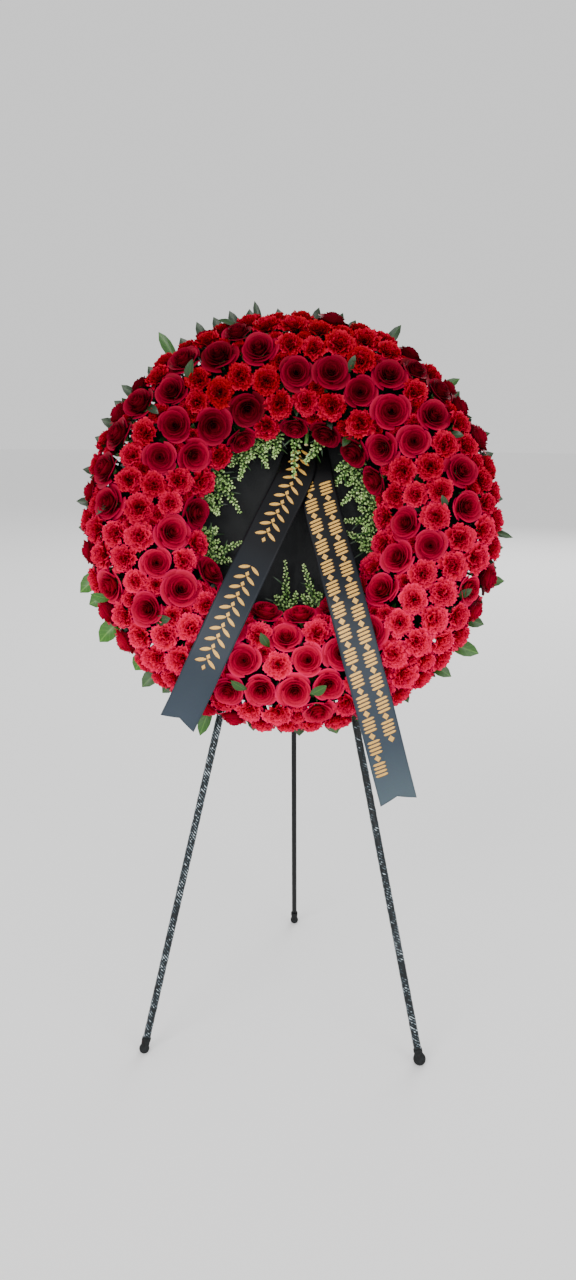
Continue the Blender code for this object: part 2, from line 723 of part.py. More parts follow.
def build_back_leg(parent):
    """The bracket on the legs' head, the hinge bolt with its nut, and the back leg that folds on it.

    The back leg's top end bears on the bracket's plate when the easel stands open, which is its stop.
    """
    paint = bpy.data.materials["leg_paint"]
    steel = finish("bolt_steel", (0.30, 0.31, 0.32), 0.35, 1.0)
    pivot = Vector((0, PIVOT_HEIGHT, PIVOT_DEPTH))
    hole = BACK_LEG_RADIUS + 2 * CLEARANCE
    plate = box_mesh("plate", (-PLATE_HALF_WIDTH, PIVOT_HEIGHT - PLATE_HALF_HEIGHT, PLATE_BACK),
                     (PLATE_HALF_WIDTH, PIVOT_HEIGHT + PLATE_HALF_HEIGHT, PLATE_BACK + PLATE_THICKNESS))
    ears = []
    for side in (-1, 1):
        near = side * hole
        far = side * (hole + EAR_THICKNESS)
        ears.append(box_mesh("ear", (min(near, far), PIVOT_HEIGHT - EAR_HALF_HEIGHT, PIVOT_DEPTH - EAR_REACH),
                             (max(near, far), PIVOT_HEIGHT + EAR_HALF_HEIGHT, PLATE_BACK + 0.001)))
    bracket = join("head_bracket", plate, ears, paint, parent)
    wide = hole + EAR_THICKNESS + CLEARANCE
    bore = rod("bolt_bore", pivot - Vector((0.05, 0, 0)), pivot + Vector((0.05, 0, 0)), BOLT_HOLE, None, parent)
    MODEL.objects.unlink(bore)
    CUTTERS.objects.link(bore)
    bore.hide_render = True
    bore.display_type = "WIRE"
    cut(bracket, bore)
    shank = bmesh.new()
    bmesh.ops.create_cone(shank, cap_ends=True, segments=SMALL_SIDES, radius1=BOLT_RADIUS,
                          radius2=BOLT_RADIUS, depth=2 * wide + 0.010,
                          matrix=aim(pivot + Vector((0.004, 0, 0)), (1, 0, 0)))
    head = bmesh.new()
    bmesh.ops.create_cone(head, cap_ends=True, segments=6, radius1=BOLT_HEAD_RADIUS, radius2=BOLT_HEAD_RADIUS,
                          depth=BOLT_HEAD_HEIGHT,
                          matrix=aim(pivot - Vector((wide + BOLT_HEAD_HEIGHT / 2, 0, 0)), (1, 0, 0)))
    join("hinge_bolt", new_mesh("shank", shank), [new_mesh("bolt_head", head)], steel, parent)
    nut = rod("hinge_nut", pivot + Vector((wide, 0, 0)), pivot + Vector((wide + NUT_HEIGHT, 0, 0)),
              BOLT_HEAD_RADIUS, steel, parent, 6)
    cut(nut, bore)
    hinge = bpy.data.objects.new("back_leg_hinge", None)
    MODEL.objects.link(hinge)
    hinge.location = parent.matrix_world @ pivot
    bpy.context.view_layer.update()
    down = BACK_FOOT - hinge.location
    opening = LEAN + math.atan2(down.y, -down.z)
    reach = (PLATE_BACK - CLEARANCE - PIVOT_DEPTH - BACK_LEG_RADIUS * math.cos(opening)) / math.sin(opening)
    up = -down.normalized()
    start = BACK_FOOT + up * LEG_END - hinge.location
    leg = tube("back_leg", start, up * reach, BACK_LEG_RADIUS, BACK_LEG_RADIUS - LEG_WALL, paint, hinge)
    cut(leg, bore)
    foot = ferrule("foot_back", BACK_FOOT, up, BACK_LEG_RADIUS + CLEARANCE, BALL_BACK,
                   bpy.data.materials["foot_rubber"], None)
    foot.parent = hinge
    foot.matrix_parent_inverse = hinge.matrix_world.inverted()


clean_scene()
MODEL = new_collection("funeral_wreath")
CUTTERS = new_collection("cutters", hidden=True)
FLOOR = cutter("floor_cut", box_mesh("floor_cut", (-0.6, -0.6, -0.1), (0.6, 0.6, 0)))
WREATH = bpy.data.objects.new("wreath_frame", None)
MODEL.objects.link(WREATH)
WREATH.location = WREATH_CENTRE
WREATH.rotation_euler = (math.pi / 2 - LEAN, 0, 0)
bpy.context.view_layer.update()
build_backing(WREATH)
build_blooms(WREATH)
build_leaf_sprays(WREATH)
build_sprigs(WREATH)
build_ribbons(WREATH)
build_front_legs(WREATH)
build_back_leg(WREATH)
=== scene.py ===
"""The look of a standing funeral wreath of red roses and carnations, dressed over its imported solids.

Metres, +Z up. The wreath has a frame of its own, as its solids have: u to the right, v up its face and
w out of its face, with clock angles turning from the top of the ring towards the viewer's right.
"""
import math

import bmesh
import bpy
import numpy as np
from mathutils import Matrix, Vector, noise


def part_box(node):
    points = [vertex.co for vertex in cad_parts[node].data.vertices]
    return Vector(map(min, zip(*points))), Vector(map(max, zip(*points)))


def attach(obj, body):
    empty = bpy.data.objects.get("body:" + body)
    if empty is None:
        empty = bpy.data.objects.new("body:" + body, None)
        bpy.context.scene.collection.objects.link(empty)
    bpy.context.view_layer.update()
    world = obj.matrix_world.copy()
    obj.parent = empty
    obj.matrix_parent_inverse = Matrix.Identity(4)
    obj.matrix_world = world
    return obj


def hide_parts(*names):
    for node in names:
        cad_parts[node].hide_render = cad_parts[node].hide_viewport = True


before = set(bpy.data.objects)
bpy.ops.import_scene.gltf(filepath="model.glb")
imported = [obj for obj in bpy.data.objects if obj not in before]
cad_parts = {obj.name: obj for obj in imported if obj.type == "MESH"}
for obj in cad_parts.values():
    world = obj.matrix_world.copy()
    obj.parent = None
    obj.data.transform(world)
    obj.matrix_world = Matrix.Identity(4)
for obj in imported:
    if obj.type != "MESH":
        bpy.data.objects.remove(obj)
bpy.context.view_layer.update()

# Studio: a pale floor under soft boxes in front, a low one for the wreath's lower half and one behind for
# the back of the easel, seen by a camera at head height, a little to the right, that looks slightly down.
FLOOR_REACH = 60.0
SOFT_BOXES = (
    ("key_box", (-4.9, -9.2, 6.2), (0.0, -0.1, 1.15), 5.6, 700, (1.0, 0.985, 0.97)),
    ("fill_box", (6.8, -7.8, 4.4), (0.0, -0.1, 1.1), 5.2, 350, (0.96, 0.98, 1.0)),
    ("low_box", (0.8, -9.2, 2.4), (0.0, -0.1, 1.0), 3.8, 230, (1.0, 1.0, 1.0)),
    ("back_box", (3.1, 8.8, 6.2), (0.0, 0.0, 1.1), 5.6, 500, (1.0, 1.0, 1.0)),
)
CAMERA_PLACE = Vector((0.115, -2.254, 1.41))
CAMERA_YAW = math.radians(-3.12)
CAMERA_DROP = math.radians(12.45)
CAMERA_ROLL = math.radians(0.43)
CAMERA_LENS = 27.03


def linear(code):
    """An sRGB hex colour as a linear one."""
    parts = [int(code[i:i + 2], 16) / 255 for i in (1, 3, 5)]
    return (*[c / 12.92 if c <= 0.04045 else ((c + 0.055) / 1.055) ** 2.4 for c in parts], 1)


def give(material, node, values):
    """Gives a node its settings, which have small letters, and its inputs, as values or "label.output"."""
    for name, value in values.items():
        if str(name).islower():
            setattr(node, name, value)
        elif isinstance(value, str):
            label, output = value.split(".")
            source = material.node_tree.nodes[label].outputs[int(output) if output.isdigit() else output]
            material.node_tree.links.new(source, node.inputs[name])
        else:
            node.inputs[name].default_value = value


def add_node(material, label, kind, values, stops=()):
    """Adds a labelled shader node with its settings, its inputs and the stops of its ramp."""
    made = material.node_tree.nodes.new("ShaderNode" + kind)
    made.name = label
    give(material, made, values)
    for number, (place, colour) in enumerate(stops):
        marks = made.color_ramp.elements
        mark = marks[number] if number < 2 else marks.new(place)
        mark.position = place
        mark.color = linear(colour)


def new_finish(name, colour, surface, *nodes):
    """A material from its nodes, which have its object coordinates as "place", and its shader's inputs."""
    material = bpy.data.materials.new(name)
    material.use_nodes = True
    material.diffuse_color = linear(colour)
    add_node(material, "place", "TexCoord", {})
    for node in nodes:
        add_node(material, *node)
    shader = material.node_tree.nodes["Principled BSDF"]
    shader.inputs["Base Color"].default_value = linear(colour)
    give(material, shader, surface)
    return material


# Rolled matt wall paint: it looks even, with the faintest mottle.
floor_paint = new_finish(
    "matt_white_floor_paint", "#f4f4f4", {"Roughness": 0.8, "Base Color": "tint.Color"},
    ("mottle", "TexNoise", {"Scale": 1.5, "Detail": 3.0}),
    ("tint", "ValToRGB", {"Fac": "mottle.Fac"}, ((0.3, "#f1f1f1"), (0.7, "#f7f7f7"))))
floor_mesh = bmesh.new()
bmesh.ops.create_circle(floor_mesh, cap_ends=True, segments=96, radius=FLOOR_REACH)
floor_data = bpy.data.meshes.new("studio_floor")
floor_mesh.to_mesh(floor_data)
floor_mesh.free()
floor_data.materials.append(floor_paint)
studio_floor = bpy.data.objects.new("studio_floor", floor_data)
bpy.context.scene.collection.objects.link(studio_floor)

world = bpy.data.worlds.new("studio_air")
world.use_nodes = True
world.node_tree.nodes["Background"].inputs["Color"].default_value = (1, 1, 1, 1)
world.node_tree.nodes["Background"].inputs["Strength"].default_value = 1.0
bpy.context.scene.world = world

for box_name, box_place, box_target, box_size, box_power, box_colour in SOFT_BOXES:
    lamp = bpy.data.lights.new(box_name, "AREA")
    lamp.shape = "SQUARE"
    lamp.size = box_size
    lamp.energy = box_power
    lamp.color = box_colour
    holder = bpy.data.objects.new(box_name, lamp)
    bpy.context.scene.collection.objects.link(holder)
    holder.location = box_place
    holder.rotation_euler = (Vector(box_target) - Vector(box_place)).to_track_quat("-Z", "Y").to_euler()

camera_data = bpy.data.cameras.new("camera")
camera_data.lens = CAMERA_LENS
camera = bpy.data.objects.new("camera", camera_data)
bpy.context.scene.collection.objects.link(camera)
ahead = Vector((math.sin(CAMERA_YAW) * math.cos(CAMERA_DROP), math.cos(CAMERA_YAW) * math.cos(CAMERA_DROP),
                -math.sin(CAMERA_DROP)))
across = Vector((math.cos(CAMERA_YAW), -math.sin(CAMERA_YAW), 0))
over = across.cross(ahead)
tilted = across * math.cos(CAMERA_ROLL) + over * math.sin(CAMERA_ROLL)
upright = over * math.cos(CAMERA_ROLL) - across * math.sin(CAMERA_ROLL)
camera_turn = Matrix((tilted, upright, -ahead)).transposed().to_4x4()
camera.matrix_world = Matrix.Translation(CAMERA_PLACE) @ camera_turn
bpy.context.scene.camera = camera

# Easel legs: three steel tubes sprayed satin black, the back one thinner. The front pair leans back and
# meets at the head; all three show a fine orange peel from the spray.
LEAN = math.radians(12)
WREATH_CENTRE = Vector((0, -0.070, 1.194))
WREATH = Matrix.Translation(WREATH_CENTRE) @ Matrix.Rotation(math.pi / 2 - LEAN, 4, "X")
LEG_RADIUS = 0.0075
LEG_AXIS = -0.0101
LEG_FOOT = 0.318
LEG_HEAD = (0.013, 0.235)
LEG_END = 0.0135
BACK_LEG_RADIUS = 0.0068
BACK_LEG_DROP = 0.0020
BACK_FOOT = Vector((0, 0.309, 0))
BACK_HEAD = WREATH @ Vector((0, 0.215, -0.0365))
ROUND = 32


def stand_up(place, direction, roll=0.0):
    """The matrix that stands a shape's Z axis along a direction at a place."""
    turn = Vector(direction).to_track_quat("Z", "Y").to_matrix().to_4x4()
    return Matrix.Translation(place) @ turn @ Matrix.Rotation(roll, 4, "Z")


def dress(name, bm, materials, body, nodes=(), matrix=None, smooth=True):
    """Makes a finished bmesh a piece: placed, smoothed, on its body and standing for its nodes."""
    if matrix is not None:
        bmesh.ops.transform(bm, matrix=matrix, verts=bm.verts[:])
    for face in bm.faces:
        face.smooth = smooth
    mesh = bpy.data.meshes.new(name)
    bm.to_mesh(mesh)
    bm.free()
    for material in materials:
        mesh.materials.append(material)
    piece = bpy.data.objects.new(name, mesh)
    bpy.context.scene.collection.objects.link(piece)
    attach(piece, body)
    if nodes:
        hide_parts(*nodes)
    return piece


def round_bar(bm, start, end, radius, bevel=0.0006):
    """Adds a round bar between two points, its end edges eased."""
    made = bmesh.ops.create_cone(bm, cap_ends=True, segments=ROUND, radius1=radius, radius2=radius,
                                 depth=(end - start).length, matrix=stand_up((start + end) / 2, end - start))
    rims = [edge for edge in {e for v in made["verts"] for e in v.link_edges}
            if any(len(face.verts) > 4 for face in edge.link_faces)]
    bmesh.ops.bevel(bm, geom=rims, offset=bevel, segments=2, profile=0.5, affect="EDGES", material=-1)


def leg_line(side):
    """Foot and head of a front leg's middle line in the wreath's frame."""
    drop = (-WREATH_CENTRE.z - LEG_AXIS * math.sin(LEAN)) / math.cos(LEAN)
    return Vector((side * LEG_FOOT, drop, LEG_AXIS)), Vector((side * LEG_HEAD[0], LEG_HEAD[1], LEG_AXIS))


def on_leg(side, v):
    """The point of a front leg's middle line at a height of the wreath's face."""
    foot, head = leg_line(side)
    return foot.lerp(head, (v - foot.y) / (head.y - foot.y))


# Satin black paint sprayed on drawn tube: dark and half dull, with orange peel and a few greyer scuffs.
steel_paint = new_finish(
    "satin_black_spray_paint_on_steel", "#0d0f10",
    {"Specular IOR Level": 0.22, "Base Color": "tint.Color", "Roughness": "gloss.Result",
     "Normal": "bump.Normal"},
    ("peel", "TexNoise", {"Vector": "place.Object", "Scale": 420.0, "Detail": 2.0}),
    ("scuffs", "TexNoise", {"Vector": "place.Object", "Scale": 34.0, "Detail": 6.0, "Roughness": 0.7}),
    ("tint", "ValToRGB", {"Fac": "scuffs.Fac"}, ((0.35, "#060708"), (0.60, "#0b0d0f"), (0.74, "#1c1f22"))),
    ("gloss", "MapRange", {"Value": "scuffs.Fac", "From Min": 0.3, "From Max": 0.75, "To Min": 0.34,
                           "To Max": 0.62}),
    ("bump", "Bump", {"Height": "peel.Fac", "Strength": 0.25, "Distance": 0.0003}))

for leg_side, leg_word in ((-1, "left"), (1, "right")):
    leg_foot, leg_head = leg_line(leg_side)
    leg_mesh = bmesh.new()
    round_bar(leg_mesh, leg_foot + (leg_head - leg_foot).normalized() * LEG_END, leg_head, LEG_RADIUS)
    dress(f"front_leg_{leg_word}", leg_mesh, [steel_paint], "root", [f"leg_{leg_word}"], WREATH)

back_way = (BACK_HEAD - BACK_FOOT).normalized()
back_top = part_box("back_leg")[1].z - BACK_LEG_DROP
back_mesh = bmesh.new()
round_bar(back_mesh, BACK_FOOT + back_way * LEG_END, BACK_FOOT + back_way * (back_top / back_way.z),
          BACK_LEG_RADIUS)
dress("folding_back_leg", back_mesh, [steel_paint], "back_leg", ["back_leg"])

# Feet: turned rubber ferrules pushed over the tubes, each swelling into a ball that is worn flat where it
# stands; the right front one is the largest. Rubber keeps a dull dusty bloom.
BORE_PLAY = 0.0003
FERRULES = (
    ("foot_left", WREATH @ leg_line(-1)[0], WREATH @ leg_line(-1)[1], LEG_RADIUS + BORE_PLAY, 0.0118, "root"),
    ("foot_right", WREATH @ leg_line(1)[0], WREATH @ leg_line(1)[1], LEG_RADIUS + BORE_PLAY, 0.0145, "root"),
    ("foot_back", BACK_FOOT, BACK_HEAD, BACK_LEG_RADIUS + BORE_PLAY, 0.0112, "back_leg"),
)
FERRULE_LENGTH = 0.036
FERRULE_WALL = 0.0018
FERRULE_LIP = 0.0007
FERRULE_SINK = 0.79

# Moulded rubber: black and dull, greyed in patches by dust.
rubber = new_finish(
    "moulded_black_rubber", "#0c0d0e",
    {"Roughness": 0.72, "Specular IOR Level": 0.25, "Base Color": "tint.Color", "Normal": "bump.Normal"},
    ("dust", "TexNoise", {"Vector": "place.Object", "Scale": 160.0, "Detail": 5.0}),
    ("tint", "ValToRGB", {"Fac": "dust.Fac"}, ((0.35, "#08090a"), (0.75, "#1b1e20"))),
    ("bump", "Bump", {"Height": "dust.Fac", "Strength": 0.3, "Distance": 0.0004}))


def turn_outline(outline, steps, closed=False):
    """A bmesh turned round its Z axis from an outline of radii and heights, merged and facing outwards."""
    bm = bmesh.new()
    chain = [bm.verts.new((radius, 0, height)) for radius, height in outline]
    sides = [bm.edges.new(pair) for pair in zip(chain, chain[1:] + (chain[:1] if closed else []))]
    bmesh.ops.spin(bm, geom=chain + sides, cent=(0, 0, 0), axis=(0, 0, 1), angle=2 * math.pi, steps=steps,
                   use_merge=True)
    bmesh.ops.remove_doubles(bm, verts=bm.verts[:], dist=0.00001)
    bmesh.ops.recalc_face_normals(bm, faces=bm.faces[:])
    return bm


for node_name, foot_place, leg_top, bore, ball, foot_body in FERRULES:
    way = (leg_top - foot_place).normalized()
    rise = FERRULE_SINK * ball / way.z
    sleeve = bore + FERRULE_WALL
    lip = sleeve + FERRULE_LIP
    outline = [(0.0, rise - ball)]
    outline += [(ball * math.cos(math.radians(a)), rise + ball * math.sin(math.radians(a)))
                for a in range(-80, 52, 12)]
    outline += [(sleeve, rise + 0.95 * ball), (sleeve, FERRULE_LENGTH - 0.009), (lip, FERRULE_LENGTH - 0.008),
                (lip, FERRULE_LENGTH - 0.0012), (sleeve, FERRULE_LENGTH), (bore, FERRULE_LENGTH),
                (bore, LEG_END - BORE_PLAY), (0.0, LEG_END - BORE_PLAY)]
    foot_mesh = turn_outline(outline, ROUND)
    bmesh.ops.transform(foot_mesh, matrix=stand_up(foot_place, way), verts=foot_mesh.verts[:])
    whole_foot = foot_mesh.verts[:] + foot_mesh.edges[:] + foot_mesh.faces[:]
    cut = bmesh.ops.bisect_plane(foot_mesh, geom=whole_foot, plane_co=(0, 0, 0), plane_no=(0, 0, -1),
                                 clear_outer=True)["geom_cut"]
    bmesh.ops.edgeloop_fill(foot_mesh, edges=[edge for edge in cut if isinstance(edge, bmesh.types.BMEdge)])
    bmesh.ops.recalc_face_normals(foot_mesh, faces=foot_mesh.faces[:])
    dress("rubber_" + node_name, foot_mesh, [rubber], foot_body, [node_name])

# Film on the front legs: black stretch film wound up each tube in a slow spiral. Each turn laps the one
# below it, and the slack crumples into small creases, paled by stretching and given painted highlights
# like foil; the left film is painted brighter towards its top, the right one darker.
FILM_RADIUS = LEG_RADIUS + 0.0009
FILM_FOOT = 0.0365
FILM_TOP = -0.425
FILM_PITCH = 0.030
FILM_LAP = 0.00055
FILM_CREASE = 0.00075
FILM_SLANT = 0.0016
FILM_STARTS = 6
FILM_STREAKS = 115

# Black polyethylene film: dark and glossy, with pale broken streaks where its creases wind up the tube,
# partly real stress whitening and partly painted highlight.
film = new_finish(
    "black_stretch_film", "#1b262d",
    {"Roughness": 0.30, "Specular IOR Level": 0.25, "Base Color": "tint.Color", "Normal": "bump.Normal"},
    ("crease", "Attribute", {"attribute_name": "crease"}),
    ("slack", "TexNoise", {"Vector": "place.Object", "Scale": 210.0, "Detail": 3.0, "Roughness": 0.6}),
    ("uv", "UVMap", {"uv_map": "wind"}),
    ("wind", "SeparateXYZ", {"Vector": "uv.UV"}),
    ("up", "Math", {"operation": "MULTIPLY", 0: "wind.Y", 1: 2 * math.pi * FILM_STREAKS}),
    ("turn", "Math", {"operation": "MULTIPLY_ADD", 0: "wind.X", 1: 2 * math.pi * FILM_STARTS, 2: "up.Value"}),
    ("sway", "Math", {"operation": "MULTIPLY_ADD", 0: "slack.Fac", 1: 7.0, 2: "turn.Value"}),
    ("sine", "Math", {"operation": "SINE", 0: "sway.Value"}),
    ("streak", "MapRange", {"Value": "sine.Value", "From Min": 0.25, "From Max": 0.95}),
    ("gaps", "MapRange", {"Value": "slack.Fac", "From Min": 0.40, "From Max": 0.60, "To Min": 0.15,
                          "To Max": 1.0}),
    ("broken", "Math", {"operation": "MULTIPLY", 0: "streak.Result", 1: "gaps.Result"}),
    ("sum", "Math", {"operation": "MULTIPLY", 0: "crease.Fac", 1: "broken.Value"}),
    ("tint", "ValToRGB", {"Fac": "sum.Value"}, ((0.03, "#0a0f12"), (0.22, "#3c4c56"), (0.50, "#c6d4dc"))),
    ("bump", "Bump", {"Height": "broken.Value", "Strength": 0.5, "Distance": 0.0006}))

for leg_side, leg_word in ((-1, "left"), (1, "right")):
    leg_foot, leg_head = leg_line(leg_side)
    film_start = leg_foot + (leg_head - leg_foot).normalized() * FILM_FOOT
    film_end = on_leg(leg_side, FILM_TOP)
    film_length = (film_end - film_start).length
    wrap_mesh = bmesh.new()
    crease = wrap_mesh.verts.layers.float.new("crease")
    wrap_mesh.loops.layers.uv.new("wind")
    bmesh.ops.create_grid(wrap_mesh, x_segments=22, y_segments=360, size=0.5, calc_uvs=True)
    for vertex in wrap_mesh.verts:
        turn = (vertex.co.x + 0.5) * 2 * math.pi
        rise = (vertex.co.y + 0.5) * film_length
        lap = (rise / FILM_PITCH - leg_side * (vertex.co.x + 0.5)) % 1.0
        spot = Vector((math.cos(turn) * 0.7, math.sin(turn) * 0.7,
                       (rise + FILM_SLANT * turn) * 150 + leg_side * 9))
        slack = noise.noise(spot) + 0.6 * noise.noise(spot * 2.3 + Vector((7, 1, 3)))
        # Painted highlight: the crease streaks grow up the left leg and fade up the right one, on top of the
        # stretch whitening.
        vertex[crease] = min(max(0.36 + 0.75 * slack - 0.16 * leg_side * rise / film_length, 0), 1)
        radius = FILM_RADIUS + FILM_LAP * lap ** 2 * min(1, (1 - lap) * 9) + FILM_CREASE * 0.5 * slack
        vertex.co = (radius * math.cos(turn), radius * math.sin(turn), rise)
    bmesh.ops.remove_doubles(wrap_mesh, verts=wrap_mesh.verts[:], dist=0.00002)
    bmesh.ops.transform(wrap_mesh, matrix=stand_up(film_start, film_end - film_start),
                        verts=wrap_mesh.verts[:])
    bmesh.ops.recalc_face_normals(wrap_mesh, faces=wrap_mesh.faces[:])
    dress(f"film_{leg_word}", wrap_mesh, [film], "root", [f"leg_wrap_{leg_word}"], WREATH)

# Cross bar and pegs: thin bars welded to the front legs behind the ring; the ring's lower edge stands on
# the two pegs. The plate with two ears at the head takes the back leg's bolt.
CROSS_BAR_RADIUS = 0.004

for bar_name in ("cross_bar", "peg_left", "peg_right"):
    bar_low, bar_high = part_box(bar_name)
    bar_mesh = bmesh.new()
    middle = (bar_low + bar_high) / 2
    if bar_name == "cross_bar":
        bar_start = Vector((bar_low.x, middle.y, middle.z))
        bar_end = Vector((bar_high.x, middle.y, middle.z))
    else:
        out = WREATH.to_3x3() @ Vector((0, 0, 1))
        half = out * ((bar_high.y - bar_low.y - 2 * CROSS_BAR_RADIUS * abs(out.z)) / abs(out.y) / 2)
        bar_start = middle - half
        bar_end = middle + half
    round_bar(bar_mesh, bar_start, bar_end, CROSS_BAR_RADIUS, 0.0004)
    dress("welded_" + bar_name, bar_mesh, [steel_paint], "root", [bar_name])

# Zinc plating on small steel parts: a pale grey metal with a fine spangle.
zinc = new_finish(
    "zinc_plated_steel", "#9a9da0", {"Roughness": 0.35, "Metallic": 1.0, "Base Color": "tint.Color"},
    ("spangle", "TexNoise", {"Vector": "place.Object", "Scale": 900.0, "Detail": 3.0}),
    ("tint", "ValToRGB", {"Fac": "spangle.Fac"}, ((0.3, "#7d8083"), (0.7, "#b4b7b9"))))
for node_name, node_finish in (("head_bracket", steel_paint), ("hinge_bolt", zinc), ("hinge_nut", zinc)):
    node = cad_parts[node_name]
    node.data.materials.clear()
    node.data.materials.append(node_finish)

# Tray: the moulded ring of dark green plastic that holds the foam, turned up at both edges, with raised
# hoops on its back. It is what the ring shows from behind.
TRAY_OUTER = 0.4095
TRAY_INNER = 0.2400
TRAY_DEPTH = 0.010
TRAY_EASE = 0.0012
TRAY_LIP = 0.004
TRAY_HOOPS = 5
HOOP_FIRST = 0.394
HOOP_STEP = 0.031
HOOP_WIDTH = 0.020
HOOP_HEIGHT = 0.0018

# Moulded polypropylene: dark green with a half gloss that wears unevenly.
tray_plastic = new_finish(
    "moulded_green_polypropylene", "#10301c", {"Base Color": "tint.Color", "Roughness": "gloss.Result"},
    ("mottle", "TexNoise", {"Vector": "place.Object", "Scale": 45.0, "Detail": 4.0}),
    ("tint", "ValToRGB", {"Fac": "mottle.Fac"}, ((0.35, "#081d10"), (0.70, "#12311c"))),
    ("gloss", "MapRange", {"Value": "mottle.Fac", "From Min": 0.3, "From Max": 0.7, "To Min": 0.36,
                           "To Max": 0.55}))

tray_outline = [(TRAY_OUTER, TRAY_DEPTH), (TRAY_OUTER, TRAY_EASE), (TRAY_OUTER - TRAY_EASE, 0.0)]
for hoop in range(TRAY_HOOPS):
    outer = HOOP_FIRST - HOOP_STEP * hoop
    tray_outline += [(outer, 0.0), (outer - 0.001, HOOP_HEIGHT), (outer - HOOP_WIDTH + 0.001, HOOP_HEIGHT),
                     (outer - HOOP_WIDTH, 0.0)]
tray_outline += [(TRAY_INNER + TRAY_EASE, 0.0), (TRAY_INNER, TRAY_EASE), (TRAY_INNER, TRAY_DEPTH),
                 (TRAY_INNER + TRAY_LIP, TRAY_DEPTH), (TRAY_INNER + 0.006, TRAY_DEPTH - 0.005),
                 (TRAY_OUTER - 0.006, TRAY_DEPTH - 0.005), (TRAY_OUTER - TRAY_LIP, TRAY_DEPTH)]
tray = dress("foam_tray", turn_outline(tray_outline, 144, closed=True), [tray_plastic], "root", ["tray_ring"],
             WREATH, smooth=False)

# Backing cloth: a disc of black polyester stretched behind the tray. It closes the hole, and its slack
# falls there in soft folds that run down from the top pin.
CLOTH_RADIUS = 0.300
CLOTH_REST = -0.0011
CLOTH_FOLDS = (
    ((0.010, 0.230), (-0.150, -0.120), 0.017, 0.0075),
    ((0.020, 0.230), (-0.060, -0.200), 0.013, 0.0060),
    ((0.030, 0.230), (0.010, -0.210), 0.011, 0.0050),
    ((0.030, 0.230), (0.085, -0.180), 0.015, 0.0070),
    ((0.040, 0.230), (0.190, -0.060), 0.018, 0.0060),
    ((-0.200, 0.060), (0.110, -0.150), 0.014, 0.0040),
    ((-0.150, 0.160), (-0.030, -0.020), 0.020, 0.0040),
    ((0.190, 0.100), (-0.040, -0.190), 0.012, 0.0030),
)

# Plain-woven polyester: nearly black and dull. Its threads are drawn coarser than real ones, to show at all.
cloth_weave = new_finish(
    "black_polyester_cloth", "#0b0d0f",
    {"Roughness": 0.60, "Specular IOR Level": 0.22, "Base Color": "tint.Color", "Normal": "bump.Normal"},
    ("uv", "UVMap", {"uv_map": "weave"}),
    ("warp", "TexWave", {"wave_type": "BANDS", "bands_direction": "X", "Vector": "uv.UV", "Scale": 130.0}),
    ("weft", "TexWave", {"wave_type": "BANDS", "bands_direction": "Y", "Vector": "uv.UV", "Scale": 130.0}),
    ("cross", "Math", {"operation": "MAXIMUM", 0: "warp.Fac", 1: "weft.Fac"}),
    ("tint", "ValToRGB", {"Fac": "cross.Value"}, ((0.2, "#030404"), (0.9, "#0c0f12"))),
    ("bump", "Bump", {"Height": "cross.Value", "Strength": 0.4, "Distance": 0.0003}))


def smooth_step(low, high, value):
    """0 before low, 1 after high, and an even rise between them."""
    t = min(max((value - low) / (high - low), 0.0), 1.0)
    return t * t * (3 - 2 * t)


cloth_mesh = bmesh.new()
cloth_mesh.loops.layers.uv.new("weave")
bmesh.ops.create_grid(cloth_mesh, x_segments=84, y_segments=84, size=1.0, calc_uvs=True)
for vertex in cloth_mesh.verts:
    x, y = vertex.co.x, vertex.co.y
    flat = Vector((x * math.sqrt(1 - y * y / 2), y * math.sqrt(1 - x * x / 2))) * CLOTH_RADIUS
    loose = 1 - smooth_step(0.150, 0.228, flat.length)
    height = 0.0
    for top, low, width, lift in CLOTH_FOLDS:
        line = Vector(low) - Vector(top)
        along = min(max((flat - Vector(top)).dot(line) / line.length_squared, 0), 1)
        gap = (flat - Vector(top) - line * along).length
        height = max(height, lift * math.exp(-(gap / width) ** 2) * (0.35 + 0.65 * along))
    height += 0.0012 * (noise.noise(Vector((flat.x * 28, flat.y * 28, 0.3))) + 0.5)
    pucker = 0.0004 * math.cos(44 * math.atan2(flat.y, flat.x)) * smooth_step(0.255, 0.295, flat.length)
    vertex.co = (flat.x, flat.y, CLOTH_REST + height * loose + pucker)
cloth = dress("backing_cloth", cloth_mesh, [cloth_weave], "root", ["cloth_panel"], WREATH)

# Foam and moss: the ring of wet foam in the tray, under a skin of dark moss and torn leaf that the stems
# are pushed through. It shows only as green dark between the blooms.
RING_RADIUS = 0.322
BED_HALF_WIDTH = 0.088
BED_WALL = 0.034
BED_TOP = 0.097
BED_FLOOR = 0.0104
BED_STEPS = 16
MOSS_DEPTH = 0.004
MOSS_LUMPS = 60
SECTORS = 12

# Moss and torn leaf over foam: rough and soft, very dark green with lighter tufts.
moss = new_finish(
    "dark_moss_over_foam", "#122716",
    {"Roughness": 0.9, "Specular IOR Level": 0.1, "Base Color": "tint.Color", "Normal": "bump.Normal"},
    ("tufts", "TexNoise", {"Vector": "place.Object", "Scale": 130.0, "Detail": 8.0, "Roughness": 0.7}),
    ("tint", "ValToRGB", {"Fac": "tufts.Fac"}, ((0.30, "#040805"), (0.52, "#0b170b"), (0.75, "#1c3416"))),
    ("bump", "Bump", {"Height": "tufts.Fac", "Strength": 0.9, "Distance": 0.003}))

